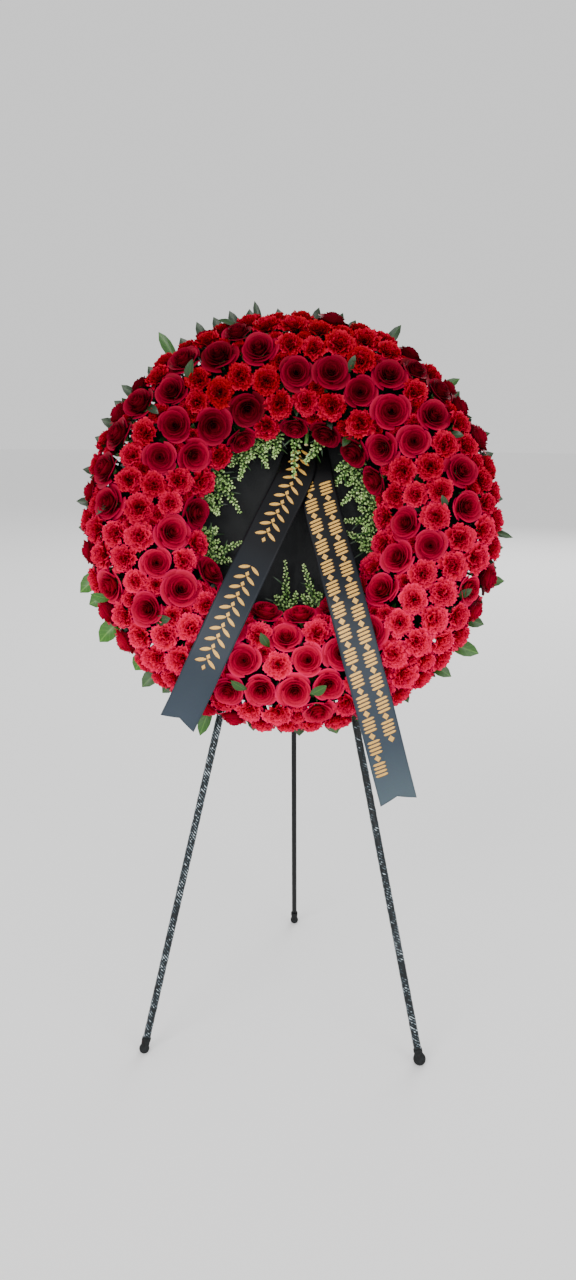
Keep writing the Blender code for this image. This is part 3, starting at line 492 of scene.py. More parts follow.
bed_outline = [(RING_RADIUS + BED_HALF_WIDTH, BED_FLOOR)]
for step in range(BED_STEPS + 1):
    turn = math.pi * step / BED_STEPS
    bed_outline.append((RING_RADIUS + BED_HALF_WIDTH * math.cos(turn),
                        BED_WALL + (BED_TOP - BED_WALL) * math.sin(turn)))
bed_outline.append((RING_RADIUS - BED_HALF_WIDTH, BED_FLOOR))
bed_mesh = turn_outline(bed_outline, 180, closed=True)
bed_mesh.normal_update()
for vertex in bed_mesh.verts:
    if vertex.co.z > BED_FLOOR + 0.0016:
        vertex.co -= vertex.normal * MOSS_DEPTH * (0.5 + noise.noise(vertex.co * MOSS_LUMPS))
dress("moss_bed", bed_mesh, [moss], "root", [f"bloom_sector_{n + 1:02d}" for n in range(SECTORS)],
      WREATH)

# Roses: seventy-five cut roses, each a tight spiral heart inside ever wider petals whose lips roll back.
# Petals are soft and velvety, their red painted nearly black in the heart as shade and lighter towards the
# lips as highlight.
BLOOM_ROWS = (42, 39, 35, 29, 24, 21)
RIM_ANGLE = math.radians(14)
INNER_ANGLE = math.radians(152)
HEADS_HALF_WIDTH = 0.127
HEADS_BASE = 0.025
HEADS_RISE = 0.115
ROSE_RADIUS = (0.035, 0.042)
CARNATION_RADIUS = (0.026, 0.032)
ROSE_SHARE = 0.40
CLEARANCE = 0.0003
STEM_DEPTH = 0.050
STEM_RADIUS = 0.0024
CALYX_ROOT = 0.66
CALYX_TOP = 0.34
CALYX_WIDTH = 0.26
# A bloom's tone and painted shade: its least tone, the rise, which is painted shade that makes it deep at the
# top of the wreath and light at its foot, and its random scatter.
ROSE_TONE_AND_SHADE = (-0.05, 0.84, 0.28)
CARNATION_TONE_AND_SHADE = (-0.06, 0.88, 0.24)
ROSE_PETALS = 21
ROSE_SWAY = 0.16
ROSE_FULLNESS = 1.12
CLOSED_ROSE_FULLNESS = 1.35
CLOSED_ROSE_OPENNESS = 0.35
CARNATION_FULLNESS = 1.24
GOLDEN = math.radians(137.5)
GAP_LEAST = 0.0015
GAP_OVERLAP = 0.0150
GAP_RIM_LIFT = math.radians(26)
GAP_SINK = 0.009
GAP_STEM_SINK = 1.6 * GAP_SINK


def head_place(turn, lift):
    """A bloom's centre on the rounded front of the ring, from its clock angle and its angle over the rim."""
    radius = RING_RADIUS + HEADS_HALF_WIDTH * np.cos(lift)
    height = HEADS_BASE + HEADS_RISE * np.sin(lift)
    return np.stack([radius * np.sin(turn), radius * np.cos(turn), height], axis=-1)


def head_normal(turn, lift):
    """The way that a bloom faces."""
    return np.stack([np.cos(lift) * np.sin(turn), np.cos(lift) * np.cos(turn), np.sin(lift)], axis=-1)


def lay_out_blooms():
    """Kind, radius, clock angle and lift of every bloom, as in the solids: even rows, then pushed apart."""
    draw = np.random.default_rng(12)
    rows = len(BLOOM_ROWS)
    turn = []
    lift = []
    for row, count in enumerate(BLOOM_ROWS):
        start = draw.random()
        turn += [2 * math.pi * (i + start) / count for i in range(count)]
        lift += [RIM_ANGLE + (INNER_ANGLE - RIM_ANGLE) * (row + 0.06) / (rows - 0.88)] * count
    turn = np.array(turn)
    lift = np.array(lift)
    rose = draw.random(len(turn)) < ROSE_SHARE
    size = draw.random(len(turn))
    low = np.where(rose, ROSE_RADIUS[0], CARNATION_RADIUS[0])
    high = np.where(rose, ROSE_RADIUS[1], CARNATION_RADIUS[1])
    radius = low + (high - low) * size
    wanted = radius[:, None] + radius[None, :] + 2 * CLEARANCE
    for _ in range(700):
        place = head_place(turn, lift)
        apart = place[:, None, :] - place[None, :, :]
        distance = np.linalg.norm(apart, axis=2)
        np.fill_diagonal(distance, 1)
        push = 0.5 * np.maximum(wanted - distance, 0) / distance
        np.fill_diagonal(push, 0)
        move = 0.5 * (push[:, :, None] * apart).sum(axis=1)
        ring = RING_RADIUS + HEADS_HALF_WIDTH * np.cos(lift)
        along = np.stack([np.cos(turn), -np.sin(turn), 0 * turn], axis=-1)
        up = np.stack([-np.sin(lift) * np.sin(turn), -np.sin(lift) * np.cos(turn), np.cos(lift)], axis=-1)
        turn = turn + (move * along).sum(axis=1) / ring
        lift = lift + (move * up).sum(axis=1) / HEADS_HALF_WIDTH
        lift = np.clip(lift, RIM_ANGLE, INNER_ANGLE)
    place = head_place(turn, lift)
    distance = np.linalg.norm(place[:, None, :] - place[None, :, :], axis=2)
    np.fill_diagonal(distance, 1)
    for _ in range(3):
        room = (distance - 2 * CLEARANCE) / (radius[:, None] + radius[None, :])
        radius = radius * np.minimum(room.min(axis=1), 1)
    return [dict(rose=bool(r), radius=float(s), turn=float(t) % (2 * math.pi), lift=float(p))
            for r, s, t, p in zip(rose, radius, turn, lift)]


def take_in(bm, part):
    """Adds a finished part's mesh to a piece's mesh."""
    carrier = bpy.data.meshes.new("carrier")
    part.to_mesh(carrier)
    part.free()
    bm.from_mesh(carrier)
    bpy.data.meshes.remove(carrier)


def fill_gaps(blooms):
    """Small late blooms for the widest gaps between heads: closed roses at the rim, carnations elsewhere."""
    turn, lift = np.meshgrid(np.radians(np.arange(0, 360, 0.8)), np.radians(np.arange(6, 162, 3)))
    spots = head_place(turn.ravel(), lift.ravel())
    taken = np.array([head_place(bloom["turn"], bloom["lift"]) for bloom in blooms])
    size = np.array([bloom["radius"] * (ROSE_FULLNESS if bloom["rose"] else CARNATION_FULLNESS)
                     for bloom in blooms])
    room = (np.linalg.norm(spots[:, None, :] - taken[None, :, :], axis=2) - size[None, :]).min(axis=1)
    late = []
    while room.max() > GAP_LEAST:
        best = int(room.argmax())
        radius = min(room[best] + GAP_OVERLAP, CARNATION_RADIUS[0])
        closed = lift.ravel()[best] < GAP_RIM_LIFT
        late.append(dict(rose=bool(closed), radius=float(radius), turn=float(turn.ravel()[best]),
                         lift=float(lift.ravel()[best]), late=True))
        room = np.minimum(room, np.linalg.norm(spots - spots[best], axis=1) - 0.9 * radius)
    return late


def grow_stem(bm, bloom, green, layers):
    """Adds the green calyx under a bloom and its stem, which runs down into the foam."""
    way = Vector(head_normal(bloom["turn"], bloom["lift"]))
    sink = GAP_STEM_SINK if bloom.get("late") else 0
    place = Vector(head_place(bloom["turn"], bloom["lift"])) - way * sink
    neck = place - way * 0.45 * bloom["radius"]
    foot = place - way * STEM_DEPTH
    calyx_root = place - way * CALYX_ROOT * bloom["radius"]
    calyx_top = place - way * CALYX_TOP * bloom["radius"]
    for start, end, low, high in ((foot, neck, STEM_RADIUS, STEM_RADIUS),
                                  (calyx_root, calyx_top, STEM_RADIUS * 1.3, CALYX_WIDTH * bloom["radius"])):
        made = bmesh.ops.create_cone(bm, cap_ends=True, segments=8, radius1=low, radius2=high,
                                     depth=(end - start).length, matrix=stand_up((start + end) / 2, way))
        for vertex in made["verts"]:
            vertex[layers[1]] = 0.5
            for face in vertex.link_faces:
                face.material_index = green


def new_growth(*names):
    """A new bmesh with a float layer of each name."""
    bm = bmesh.new()
    return bm, [bm.verts.layers.float.new(name) for name in names]


def place_head(bloom, draw, sway):
    """A bloom's place and the way it faces, swayed a little."""
    place = Vector(head_place(bloom["turn"], bloom["lift"]))
    way = Vector(head_normal(bloom["turn"], bloom["lift"]))
    return place, (way + sway * Vector(draw.random(3) - 0.5)).normalized()


def grow_rose(bm, layers, bloom, draw):
    """Adds one rose: petals at the golden angle, from the rolled heart to the wide outer ones."""
    reach, shade = layers
    place, way = place_head(bloom, draw, ROSE_SWAY)
    least, rise, scatter = ROSE_TONE_AND_SHADE
    # Painted shade: a bloom is lighter the lower it sits on the wreath and deeper the higher, on top of a
    # random tone.
    tone = least + rise * smooth_step(-0.45, 0.42, -place.y) + scatter * draw.random()
    if bloom.get("late"):
        stand = stand_up(place - way * GAP_SINK * 0.5, way)
        size = bloom["radius"] * CLOSED_ROSE_FULLNESS
        # A late bloom sits sunk in a gap and is painted darker as shade.
        tone *= 0.7
        openness = CLOSED_ROSE_OPENNESS
    else:
        stand = stand_up(place, way)
        size = bloom["radius"] * ROSE_FULLNESS
        openness = 0.80 + 0.25 * draw.random()
    spin = draw.random() * 2 * math.pi
    for number in range(ROSE_PETALS):
        t = number / (ROSE_PETALS - 1)
        azimuth = spin + number * GOLDEN + 0.3 * (draw.random() - 0.5)
        cup = (0.075 + 0.800 * t ** 1.25) * (0.5 + 0.5 * openness)
        rim = 0.60 - 0.44 * t ** 2.1 * openness + 0.35 * (1 - openness) + 0.06 * (draw.random() - 0.5) * t
        wrap = math.radians(132 - 84 * t ** 0.7)
        lip_out = (0.035 + 0.155 * t) * openness * (0.75 + 0.5 * draw.random())
        lip_drop = (0.010 + 0.150 * t ** 1.2) * openness
        belly = 3.4 - 1.6 * t
        ripple = draw.random() * 2 * math.pi
        petal_tone_and_shade = min(max(tone + 0.22 * (draw.random() - 0.5), 0), 1)
        made = bmesh.ops.create_grid(bm, x_segments=7, y_segments=6, size=0.5)
        for vertex in made["verts"]:
            u = 2 * vertex.co.x
            v = vertex.co.y + 0.5
            inner = v * (1 - 0.30 * abs(u) ** 2.4)
            spread = wrap * (0.42 + 0.58 * math.sin(min(inner * 1.4, 1) * math.pi / 2))
            lip = max(0.0, (v - 0.66) / 0.34)
            out = cup * (1 - (1 - inner) ** belly) * (1 + 0.085 * u) + lip_out * lip ** 1.4
            out += 0.07 * t * v * v * (1 - abs(u)) ** 2
            high = -0.42 + (rim + 0.42) * inner ** 0.95 - lip_drop * lip ** 2 * (1 - 0.3 * abs(u))
            high += 0.030 * t * math.sin(3.1 * u + ripple) * v
            angle = azimuth + spread * u
            # Painted shade and highlight: inner petals and petal roots stay dark, and the lips of the outer
            # petals are lit.
            vertex[reach] = v * (0.56 + 0.44 * t ** 0.7)
            vertex[shade] = petal_tone_and_shade
            vertex.co = stand @ (Vector((out * math.cos(angle), out * math.sin(angle), high)) * size)


def petal_skin(name, colour, specular, deep, light, cells, gloss, relief):
    """A petal's finish: its colour runs from root to lip, painted shade at the root and painted highlight at
    the lip, between a deep and a light bloom's.
    """
    return new_finish(
        name, colour,
        {"Specular IOR Level": specular, "Base Color": "mix.2", "Roughness": "gloss.Result",
         "Normal": "bump.Normal"},
        ("reach", "Attribute", {"attribute_name": "reach"}),
        ("shade", "Attribute", {"attribute_name": "shade"}),
        ("deep", "ValToRGB", {"Fac": "reach.Fac"}, deep),
        ("light", "ValToRGB", {"Fac": "reach.Fac"}, light),
        ("mix", "Mix", {"data_type": "RGBA", "Factor": "shade.Fac", 6: "deep.Color", 7: "light.Color"}),
        ("cells", "TexNoise", {"Vector": "place.Object", "Scale": cells, "Detail": 4.0}),
        ("gloss", "MapRange", {"Value": "cells.Fac", "To Min": gloss[0], "To Max": gloss[1]}),
        ("bump", "Bump", {"Height": "cells.Fac", "Strength": relief, "Distance": 0.0006}))


def plant_heads(word, rose, skin, grow, seed):
    """Makes the blooms of one kind, one piece for each sector of the ring, with their stems."""
    for sector in range(SECTORS):
        sector_mesh = bmesh.new()
        for number, bloom in enumerate(blooms):
            if bloom["rose"] == rose and round(bloom["turn"] / (2 * math.pi) * SECTORS) % SECTORS == sector:
                head_mesh, head_layers = new_growth("reach", "shade")
                grow(head_mesh, head_layers, bloom, np.random.default_rng(seed + number))
                grow_stem(head_mesh, bloom, 1, head_layers)
                take_in(sector_mesh, head_mesh)
        dress(f"{word}_{sector + 1:02d}", sector_mesh, [skin, stem_green], "root",
              [f"bloom_sector_{sector + 1:02d}"], WREATH)


# Living rose petal: velvet of tiny cells that takes hardly any gloss, painted nearly black as shade in the
# heart and lighter as highlight at the lip.
rose_velvet = petal_skin(
    "rose_petal_velvet", "#8c0420", 0.06,
    ((0.25, "#260007"), (0.50, "#42000b"), (0.84, "#54000e"), (0.97, "#6a0014")),
    ((0.25, "#680018"), (0.50, "#a20028"), (0.84, "#be0038"), (0.97, "#d80052")), 260.0, (0.40, 0.66), 0.22)
# Living green stem: half dull, streaked along its length with paler green.
stem_green = new_finish(
    "cut_flower_stem", "#3f6b2c", {"Roughness": 0.5, "Base Color": "tint.Color"},
    ("streak", "TexNoise", {"Vector": "place.Object", "Scale": 200.0, "Detail": 3.0}),
    ("tint", "ValToRGB", {"Fac": "streak.Fac"}, ((0.3, "#24471c"), (0.7, "#5b8a3c"))))

blooms = lay_out_blooms()
blooms += fill_gaps(blooms)
plant_heads("roses", True, rose_velvet, grow_rose, 100)

# Carnations: a hundred and fifteen smaller heads of bright red, each a full dome of crumpled petals with
# pinked edges painted a shade paler as highlight, packed in the gaps between the roses.
CARNATION_PETALS = 44
CARNATION_SWAY = 0.2
LATE_PETALS = 28


def grow_carnation(bm, layers, bloom, draw):
    """Adds one carnation: ruffled fans at the golden angle, flat ones at its foot to upright ones inside."""
    reach, shade = layers
    place, way = place_head(bloom, draw, CARNATION_SWAY)
    least, rise, scatter = CARNATION_TONE_AND_SHADE
    # Painted shade: a bloom is lighter the lower it sits on the wreath and deeper the higher, on top of a
    # random tone.
    tone = least + rise * smooth_step(-0.45, 0.40, -place.y) + scatter * draw.random()
    size = bloom["radius"] * CARNATION_FULLNESS
    petals = CARNATION_PETALS
    if bloom.get("late"):
        place -= way * GAP_SINK
        # A late bloom sits sunk in a gap and is painted darker as shade.
        tone *= 0.8
        petals = LATE_PETALS
    stand = stand_up(place, way)
    spin = draw.random() * 2 * math.pi
    for number in range(petals):
        t = (number + 0.5) / petals
        azimuth = spin + number * GOLDEN + 0.5 * (draw.random() - 0.5)
        rise = math.radians(-4 + 84 * t ** 0.95 + 22 * (draw.random() - 0.5))
        far = (1.02 - 0.30 * t ** 1.3) * (0.86 + 0.24 * draw.random())
        tip = Vector((far * math.cos(rise), far * 0.80 * math.sin(rise)))
        bend = Vector((0.16 + 0.25 * math.cos(rise), 0.02 + 0.42 * math.sin(rise)))
        root = Vector((0.03, -0.34))
        waves = 4.0 + 5 * draw.random()
        phase = draw.random() * 2 * math.pi
        ruffle = 0.075 + 0.085 * draw.random()
        cuts = 0.02 + 0.13 * draw.random(9)
        lean = 0.5 * (draw.random() - 0.5)
        petal_tone_and_shade = min(max(tone + 0.35 * (draw.random() - 0.5), 0), 1)
        made = bmesh.ops.create_grid(bm, x_segments=8, y_segments=3, size=0.5)
        for vertex in made["verts"]:
            u = 2 * vertex.co.x
            v = vertex.co.y + 0.5
            column = round((u + 1) * 4)
            w = v * (1 - 0.16 * u * u)
            if v > 0.9 and column % 2:
                w -= cuts[column]
            spot = root * (1 - w) ** 2 + bend * 2 * w * (1 - w) + tip * w * w
            course = (bend - root) * (1 - w) + (tip - bend) * w
            course.normalize()
            crumple = ruffle * w * (math.sin(waves * u + phase) + lean * u)
            half = (0.07 + 0.40 * w ** 1.25) * far
            out = spot.x - course.y * crumple - 0.35 * (u * half) ** 2
            high = spot.y + course.x * crumple
            side = u * half
            # Reach sets painted shade at the petal's root and painted highlight at its pinked edge.
            vertex[reach] = v
            vertex[shade] = petal_tone_and_shade
            vertex.co = stand @ (Vector((out * math.cos(azimuth) - side * math.sin(azimuth),
                                         out * math.sin(azimuth) + side * math.cos(azimuth), high)) * size)


# Living carnation petal: thin, dry and crisp, so it is dull, painted palest at its pinked edge as highlight
# and darker at its root as shade.
carnation_silk = petal_skin(
    "carnation_petal", "#b4042a", 0.05,
    ((0.20, "#4a0007"), (0.62, "#78000a"), (0.88, "#8e000f"), (1.00, "#a40014")),
    ((0.20, "#a0001c"), (0.62, "#d60034"), (0.88, "#e60046"), (1.00, "#f20c5e")), 320.0, (0.45, 0.72), 0.3)
plant_heads("carnations", False, carnation_silk, grow_carnation, 400)

# Leaves between the blooms: short sprays of dark glossy leaf pushed into the moss first, so that green
# shows in every gap and round the sides of the ring.
FILLERS_PER_SECTOR = 40
RIM_FILLERS_PER_SECTOR = 22
FILLER_DEPTH = 0.006
SHOWING_LIFT = math.radians(70)
SHOWING_ROOT = Vector((0, 0, 0.016))
SHOWING_TIP = Vector((0, 0, 0.004))
# Clock angle and radius of the middle, height over the face, heading in degrees, length, half width and tone.
SHOWING_LEAVES = (
    (-34.6, 0.371, 0.150, 8, 0.056, 0.0125, 0.42), (-165.1, 0.370, 0.156, -60, 0.040, 0.0100, 0.55),
    (-130.0, 0.345, 0.152, 80, 0.042, 0.0115, 0.45), (35.3, 0.214, 0.106, -150, 0.038, 0.0090, 0.40),
    (-170.9, 0.264, 0.158, -30, 0.036, 0.0100, 0.50), (168.7, 0.371, 0.158, 60, 0.042, 0.0110, 0.60),
    (136.3, 0.204, 0.084, -140, 0.046, 0.0120, 0.50), (104.2, 0.217, 0.062, 170, 0.050, 0.0140, 0.60),
    (-18.0, 0.452, 0.085, -75, 0.050, 0.0080, 0.40), (-52.0, 0.372, 0.148, 130, 0.038, 0.0090, 0.15),
    (22.0, 0.350, 0.158, 20, 0.034, 0.0080, 0.30), (-88.0, 0.402, 0.136, 60, 0.036, 0.0090, 0.35),
    (-113.0, 0.440, 0.112, -80, 0.046, 0.0115, 0.75), (63.0, 0.395, 0.142, 100, 0.034, 0.0085, 0.30),
    (112.0, 0.408, 0.132, 60, 0.036, 0.0085, 0.45), (84.0, 0.330, 0.160, -20, 0.032, 0.0080, 0.35),
    (150.0, 0.300, 0.160, -100, 0.036, 0.0090, 0.45), (-150.0, 0.425, 0.126, 35, 0.036, 0.0090, 0.40),
)


def clock(angle, radius, height):
    """A point of the wreath's frame from its clock angle, its radius and its height over the face."""
    return Vector((radius * math.sin(angle), radius * math.cos(angle), height))


def grow_leaf(bm, root, tip, facing, half_width, layers, tone, fold=0.25, curl=0.10, fullest=0.85):
    """Adds a leaf blade: a grid drawn in to an oval, folded along its midrib and curled to its tip."""
    reach, shade, edge = layers
    along = tip - root
    length = along.length
    along.normalize()
    side = facing.cross(along).normalized()
    up = along.cross(side)
    made = bmesh.ops.create_grid(bm, x_segments=4, y_segments=7, size=0.5)
    for vertex in made["verts"]:
        u = 2 * vertex.co.x
        v = vertex.co.y + 0.5
        half = half_width * max(math.sin(math.pi * v ** fullest) ** 0.8, 0.05 if v < 0.5 else 0.02)
        lift = fold * abs(u) * half + curl * length * (math.sin(math.pi * v * 0.9) - 0.3 * v * v)
        lift += 0.06 * half_width * math.sin(9 * v + 3 * u)
        vertex[reach] = v
        vertex[shade] = tone
        vertex[edge] = abs(u)
        vertex.co = root + along * (length * v) + side * (u * half) + up * lift


# Waxy evergreen leaf: glossy dark green with a paler midrib and side veins, and uneven wax.
leaf_skin = new_finish(
    "waxy_leaf", "#2c5a22",
    {"Coat Weight": 0.08, "Coat Roughness": 0.2, "Specular IOR Level": 0.35, "Base Color": "mix.2",
     "Roughness": "gloss.Result", "Normal": "bump.Normal"},
    ("reach", "Attribute", {"attribute_name": "reach"}),
    ("shade", "Attribute", {"attribute_name": "shade"}),
    ("edge", "Attribute", {"attribute_name": "edge"}),
    ("rib", "MapRange", {"interpolation_type": "SMOOTHSTEP", "Value": "edge.Fac", "From Min": 0.02,
                         "From Max": 0.13, "To Min": 1.0, "To Max": 0.0}),
    ("slant", "Math", {"operation": "MULTIPLY_ADD", 0: "edge.Fac", 1: -0.17, 2: "reach.Fac"}),
    ("veins", "Math", {"operation": "PINGPONG", 0: "slant.Value", 1: 0.055}),
    ("lines", "MapRange", {"interpolation_type": "SMOOTHSTEP", "Value": "veins.Value", "From Min": 0.0,
                           "From Max": 0.018, "To Min": 0.40, "To Max": 0.0}),
    ("pale", "Math", {"operation": "MAXIMUM", 0: "rib.Result", 1: "lines.Result"}),
    ("blade", "ValToRGB", {"Fac": "shade.Fac"}, ((0.0, "#07150a"), (0.45, "#15330f"), (1.0, "#386f1c"))),
    ("line", "ValToRGB", {"Fac": "shade.Fac"}, ((0.0, "#12280f"), (0.45, "#2a5018"), (1.0, "#5f9436"))),
    ("mix", "Mix", {"data_type": "RGBA", "Factor": "pale.Value", 6: "blade.Color", 7: "line.Color"}),
    ("cells", "TexNoise", {"Vector": "place.Object", "Scale": 140.0, "Detail": 4.0}),
    ("gloss", "MapRange", {"Value": "cells.Fac", "To Min": 0.22, "To Max": 0.50}),
    ("bump", "Bump", {"Height": "pale.Value", "Strength": 0.35, "Distance": 0.0005}))

for sector in range(SECTORS):
    draw = np.random.default_rng(700 + sector)
    filler_mesh, filler_layers = new_growth("reach", "shade", "edge")
    for filler in range(FILLERS_PER_SECTOR + RIM_FILLERS_PER_SECTOR):
        turn = 2 * math.pi * (sector + draw.random() - 0.5) / SECTORS
        lift = math.radians(-2 + (180 if filler < FILLERS_PER_SECTOR else 26) * draw.random())
        way = Vector(head_normal(turn, lift))
        root = clock(turn, RING_RADIUS + BED_HALF_WIDTH * math.cos(lift),
                     BED_WALL + (BED_TOP - BED_WALL) * max(math.sin(lift), -0.25)) - way * FILLER_DEPTH
        drift = Vector(draw.random(3) * 2 - 1)
        drift = (drift - way * drift.dot(way)).normalized()
        heading = (way + drift * (0.45 + 0.9 * draw.random())).normalized()
        length = 0.042 + 0.020 * draw.random()
        facing = (way - heading * heading.dot(way) * 0.5 + 0.3 * Vector(draw.random(3) - 0.5)).normalized()
        grow_leaf(filler_mesh, root, root + heading * length, facing, 0.008 + 0.005 * draw.random(),
                  filler_layers, 0.05 + 0.40 * draw.random() ** 1.5)
    for degrees, radius, height, heading, length, half_width, tone in SHOWING_LEAVES:
        if round(degrees / (360 / SECTORS)) % SECTORS != sector:
            continue
        middle = clock(math.radians(degrees), radius, height)
        course = clock(math.radians(heading), 1, 0.25) * (length / 2)
        facing = Vector(head_normal(math.radians(degrees), SHOWING_LIFT)) + 0.4 * Vector(draw.random(3) - 0.5)
        grow_leaf(filler_mesh, middle - course - SHOWING_ROOT, middle + course - SHOWING_TIP, facing,
                  half_width, filler_layers, tone, 0.30, 0.10, 1.2)
    dress(f"filler_leaves_{sector + 1:02d}", filler_mesh, [leaf_skin], "root",
          [f"bloom_sector_{sector + 1:02d}"], WREATH)

# Rim leaves: sixty glossy oval leaves pinned round the tray's edge on thin twigs. The upper ones are small
# and dark, the lower left ones broad and bright, and a few hang loose under the ring.
TWIG_RADIUS = 0.0013
TWIG_RING = 0.4118
TWIG_HEIGHT = 0.006
SEEN_BREADTH = 1.35
LEAVES_BEHIND = 12
# Clock angle of the root and of the tip in degrees, the tip's radius, half width and tone, all as seen.
SEEN_LEAVES = (
    (-9, -10.2, 0.512, 0.0065, 0.15), (-13, -11.8, 0.492, 0.0095, 0.12), (-3, -4.4, 0.486, 0.0080, 0.10),
    (4, 6.5, 0.492, 0.0075, 0.10), (11, 13.0, 0.487, 0.0075, 0.12), (15, 16.8, 0.478, 0.0085, 0.15),
    (26, 28.2, 0.507, 0.0085, 0.30), (31, 32.5, 0.472, 0.0110, 0.20), (37, 36.0, 0.476, 0.0095, 0.25),
    (46, 48.5, 0.498, 0.0080, 0.55), (52, 51.0, 0.480, 0.0100, 0.40), (63, 64.8, 0.488, 0.0075, 0.30),
    (71, 70.0, 0.478, 0.0090, 0.30), (80, 82.5, 0.478, 0.0090, 0.35), (89, 92.8, 0.496, 0.0060, 0.45),
    (96, 95.5, 0.478, 0.0085, 0.45), (107, 104.0, 0.495, 0.0100, 0.60), (118, 116.5, 0.488, 0.0105, 0.55),
    (127, 123.5, 0.512, 0.0130, 0.70), (135, 132.5, 0.496, 0.0110, 0.60), (144, 145.5, 0.480, 0.0080, 0.50),
    (153, 152.0, 0.462, 0.0110, 0.40), (159, 160.0, 0.468, 0.0110, 0.45), (167, 166.3, 0.482, 0.0150, 0.65),
    (176, 176.5, 0.478, 0.0110, 0.50), (-15, -17.0, 0.500, 0.0090, 0.15), (-20, -21.4, 0.500, 0.0090, 0.15),
    (-26, -25.9, 0.504, 0.0085, 0.20), (-32, -31.5, 0.492, 0.0100, 0.20), (-36, -35.4, 0.530, 0.0095, 0.60),
    (-44, -43.0, 0.482, 0.0095, 0.20), (-51, -51.4, 0.500, 0.0085, 0.30), (-56, -55.9, 0.490, 0.0090, 0.25),
    (-61, -61.8, 0.492, 0.0090, 0.25), (-67, -66.8, 0.488, 0.0090, 0.25), (-75, -76.0, 0.488, 0.0080, 0.25),
    (-84, -84.6, 0.490, 0.0080, 0.25), (-92, -91.5, 0.484, 0.0095, 0.30),
    (-104, -108.8, 0.502, 0.0155, 0.85), (-112, -112.5, 0.492, 0.0150, 0.80),
    (-119, -122.4, 0.510, 0.0165, 0.90), (-128, -127.0, 0.480, 0.0135, 0.80),
    (-132, -134.0, 0.484, 0.0150, 0.85), (-139, -138.6, 0.498, 0.0130, 0.60),
    (-145, -143.8, 0.478, 0.0115, 0.55), (-152, -150.5, 0.468, 0.0100, 0.50),
    (-157, -157.8, 0.520, 0.0110, 0.70), (-164, -163.0, 0.470, 0.0090, 0.40),
    (-170, -171.0, 0.472, 0.0110, 0.50), (-177, -178.5, 0.466, 0.0090, 0.40),
)

# Young twig bark: dull olive with paler grain.
twig_bark = new_finish(
    "green_twig", "#40502a", {"Roughness": 0.6, "Base Color": "tint.Color"},
    ("grain", "TexNoise", {"Vector": "place.Object", "Scale": 260.0, "Detail": 3.0}),
    ("tint", "ValToRGB", {"Fac": "grain.Fac"}, ((0.3, "#2b3a1c"), (0.7, "#5d6a38"))))


def grow_twig(bm, points, radius, sides, material):
    """Adds a thin tapering twig through points: one ring of corners to each, joined to the next."""
    rings = []
    for number, point in enumerate(points):
        course = points[min(number + 1, len(points) - 1)] - points[max(number - 1, 0)]
        made = bmesh.ops.create_circle(bm, cap_ends=False, segments=sides,
                                       radius=radius * (1 - 0.5 * number / len(points)),
                                       matrix=stand_up(point, course))
        rings.append([edge for edge in {e for v in made["verts"] for e in v.link_edges}])
    for low, high in zip(rings, rings[1:]):
        for face in bmesh.ops.bridge_loops(bm, edges=low + high)["faces"]:
            face.material_index = material


for spray in range(SECTORS):
    draw = np.random.default_rng(900 + spray)
    spray_mesh, spray_layers = new_growth("reach", "shade", "edge")
    middle = 360 / SECTORS * spray
    hoop = [clock(math.radians(middle + off), TWIG_RING, TWIG_HEIGHT) for off in range(-8, 9, 2)]
    grow_twig(spray_mesh, hoop, TWIG_RADIUS, 6, 1)
    for root_turn, tip_turn, tip_radius, half_width, tone in SEEN_LEAVES:
        if round(root_turn / (360 / SECTORS)) % SECTORS != spray:
            continue
        root = clock(math.radians(root_turn), TWIG_RING, TWIG_HEIGHT)
        tip = clock(math.radians(tip_turn), tip_radius, 0.012 + 0.016 * draw.random())
        facing = Vector((0.35 * (draw.random() - 0.5), 0.35 * (draw.random() - 0.5), 1))
        grow_leaf(spray_mesh, root, tip, facing, half_width * SEEN_BREADTH, spray_layers, tone, 0.30,
                  0.04 + 0.08 * draw.random(), 1.75)
    for extra in range(LEAVES_BEHIND):
        along = 30 / LEAVES_BEHIND * (extra - LEAVES_BEHIND / 2)
        turn = math.radians(middle + along + 2 * (draw.random() - 0.5))
        root = clock(turn, TWIG_RING, TWIG_HEIGHT)
        lean = turn + 0.9 * (draw.random() - 0.5)
        tip = root + clock(lean, 0.044 + 0.018 * draw.random(), 0.002 + 0.040 * draw.random())
        facing = Vector((0.9 * (draw.random() - 0.5), 0.9 * (draw.random() - 0.5), 1))
        grow_leaf(spray_mesh, root, tip, facing, 0.0100 + 0.004 * draw.random(), spray_layers,
                  0.05 + 0.30 * draw.random(), 0.30, 0.10, 1.5)
    dress(f"rim_leaves_{spray + 1:02d}", spray_mesh, [leaf_skin, twig_bark], "root",
          [f"leaf_spray_{spray + 1:02d}"], WREATH)

# Sprigs in the hole: sixteen spikes of pale green seed pods on hair-thin stalks, pushed into the foam's
# inner wall, with narrow dark leaves at their feet.
SPRIGS = (
    (-31, (-0.114, 0.092, 0.052)),
    (-22, (-0.050, 0.118, 0.066)),
    (-8, (-0.036, 0.140, 0.072)),
    (3, (0.009, 0.092, 0.096)),
    (20, (0.033, 0.128, 0.084)),
    (-58, (-0.110, 0.020, 0.050)),
    (-74, (-0.160, 0.016, 0.046)),
    (-101, (-0.163, -0.012, 0.046)),
    (-112, (-0.104, -0.044, 0.052)),
    (181, (-0.007, -0.084, 0.060)),
    (162, (0.033, -0.092, 0.052)),
    (46, (0.095, 0.079, 0.050)),
    (60, (0.114, 0.040, 0.058)),
    (75, (0.146, 0.056, 0.044)),
    (88, (0.114, 0.006, 0.050)),
    (104, (0.123, -0.018, 0.046)),
)
SPRIG_PODS = 54
SPRIG_BLADES = 9
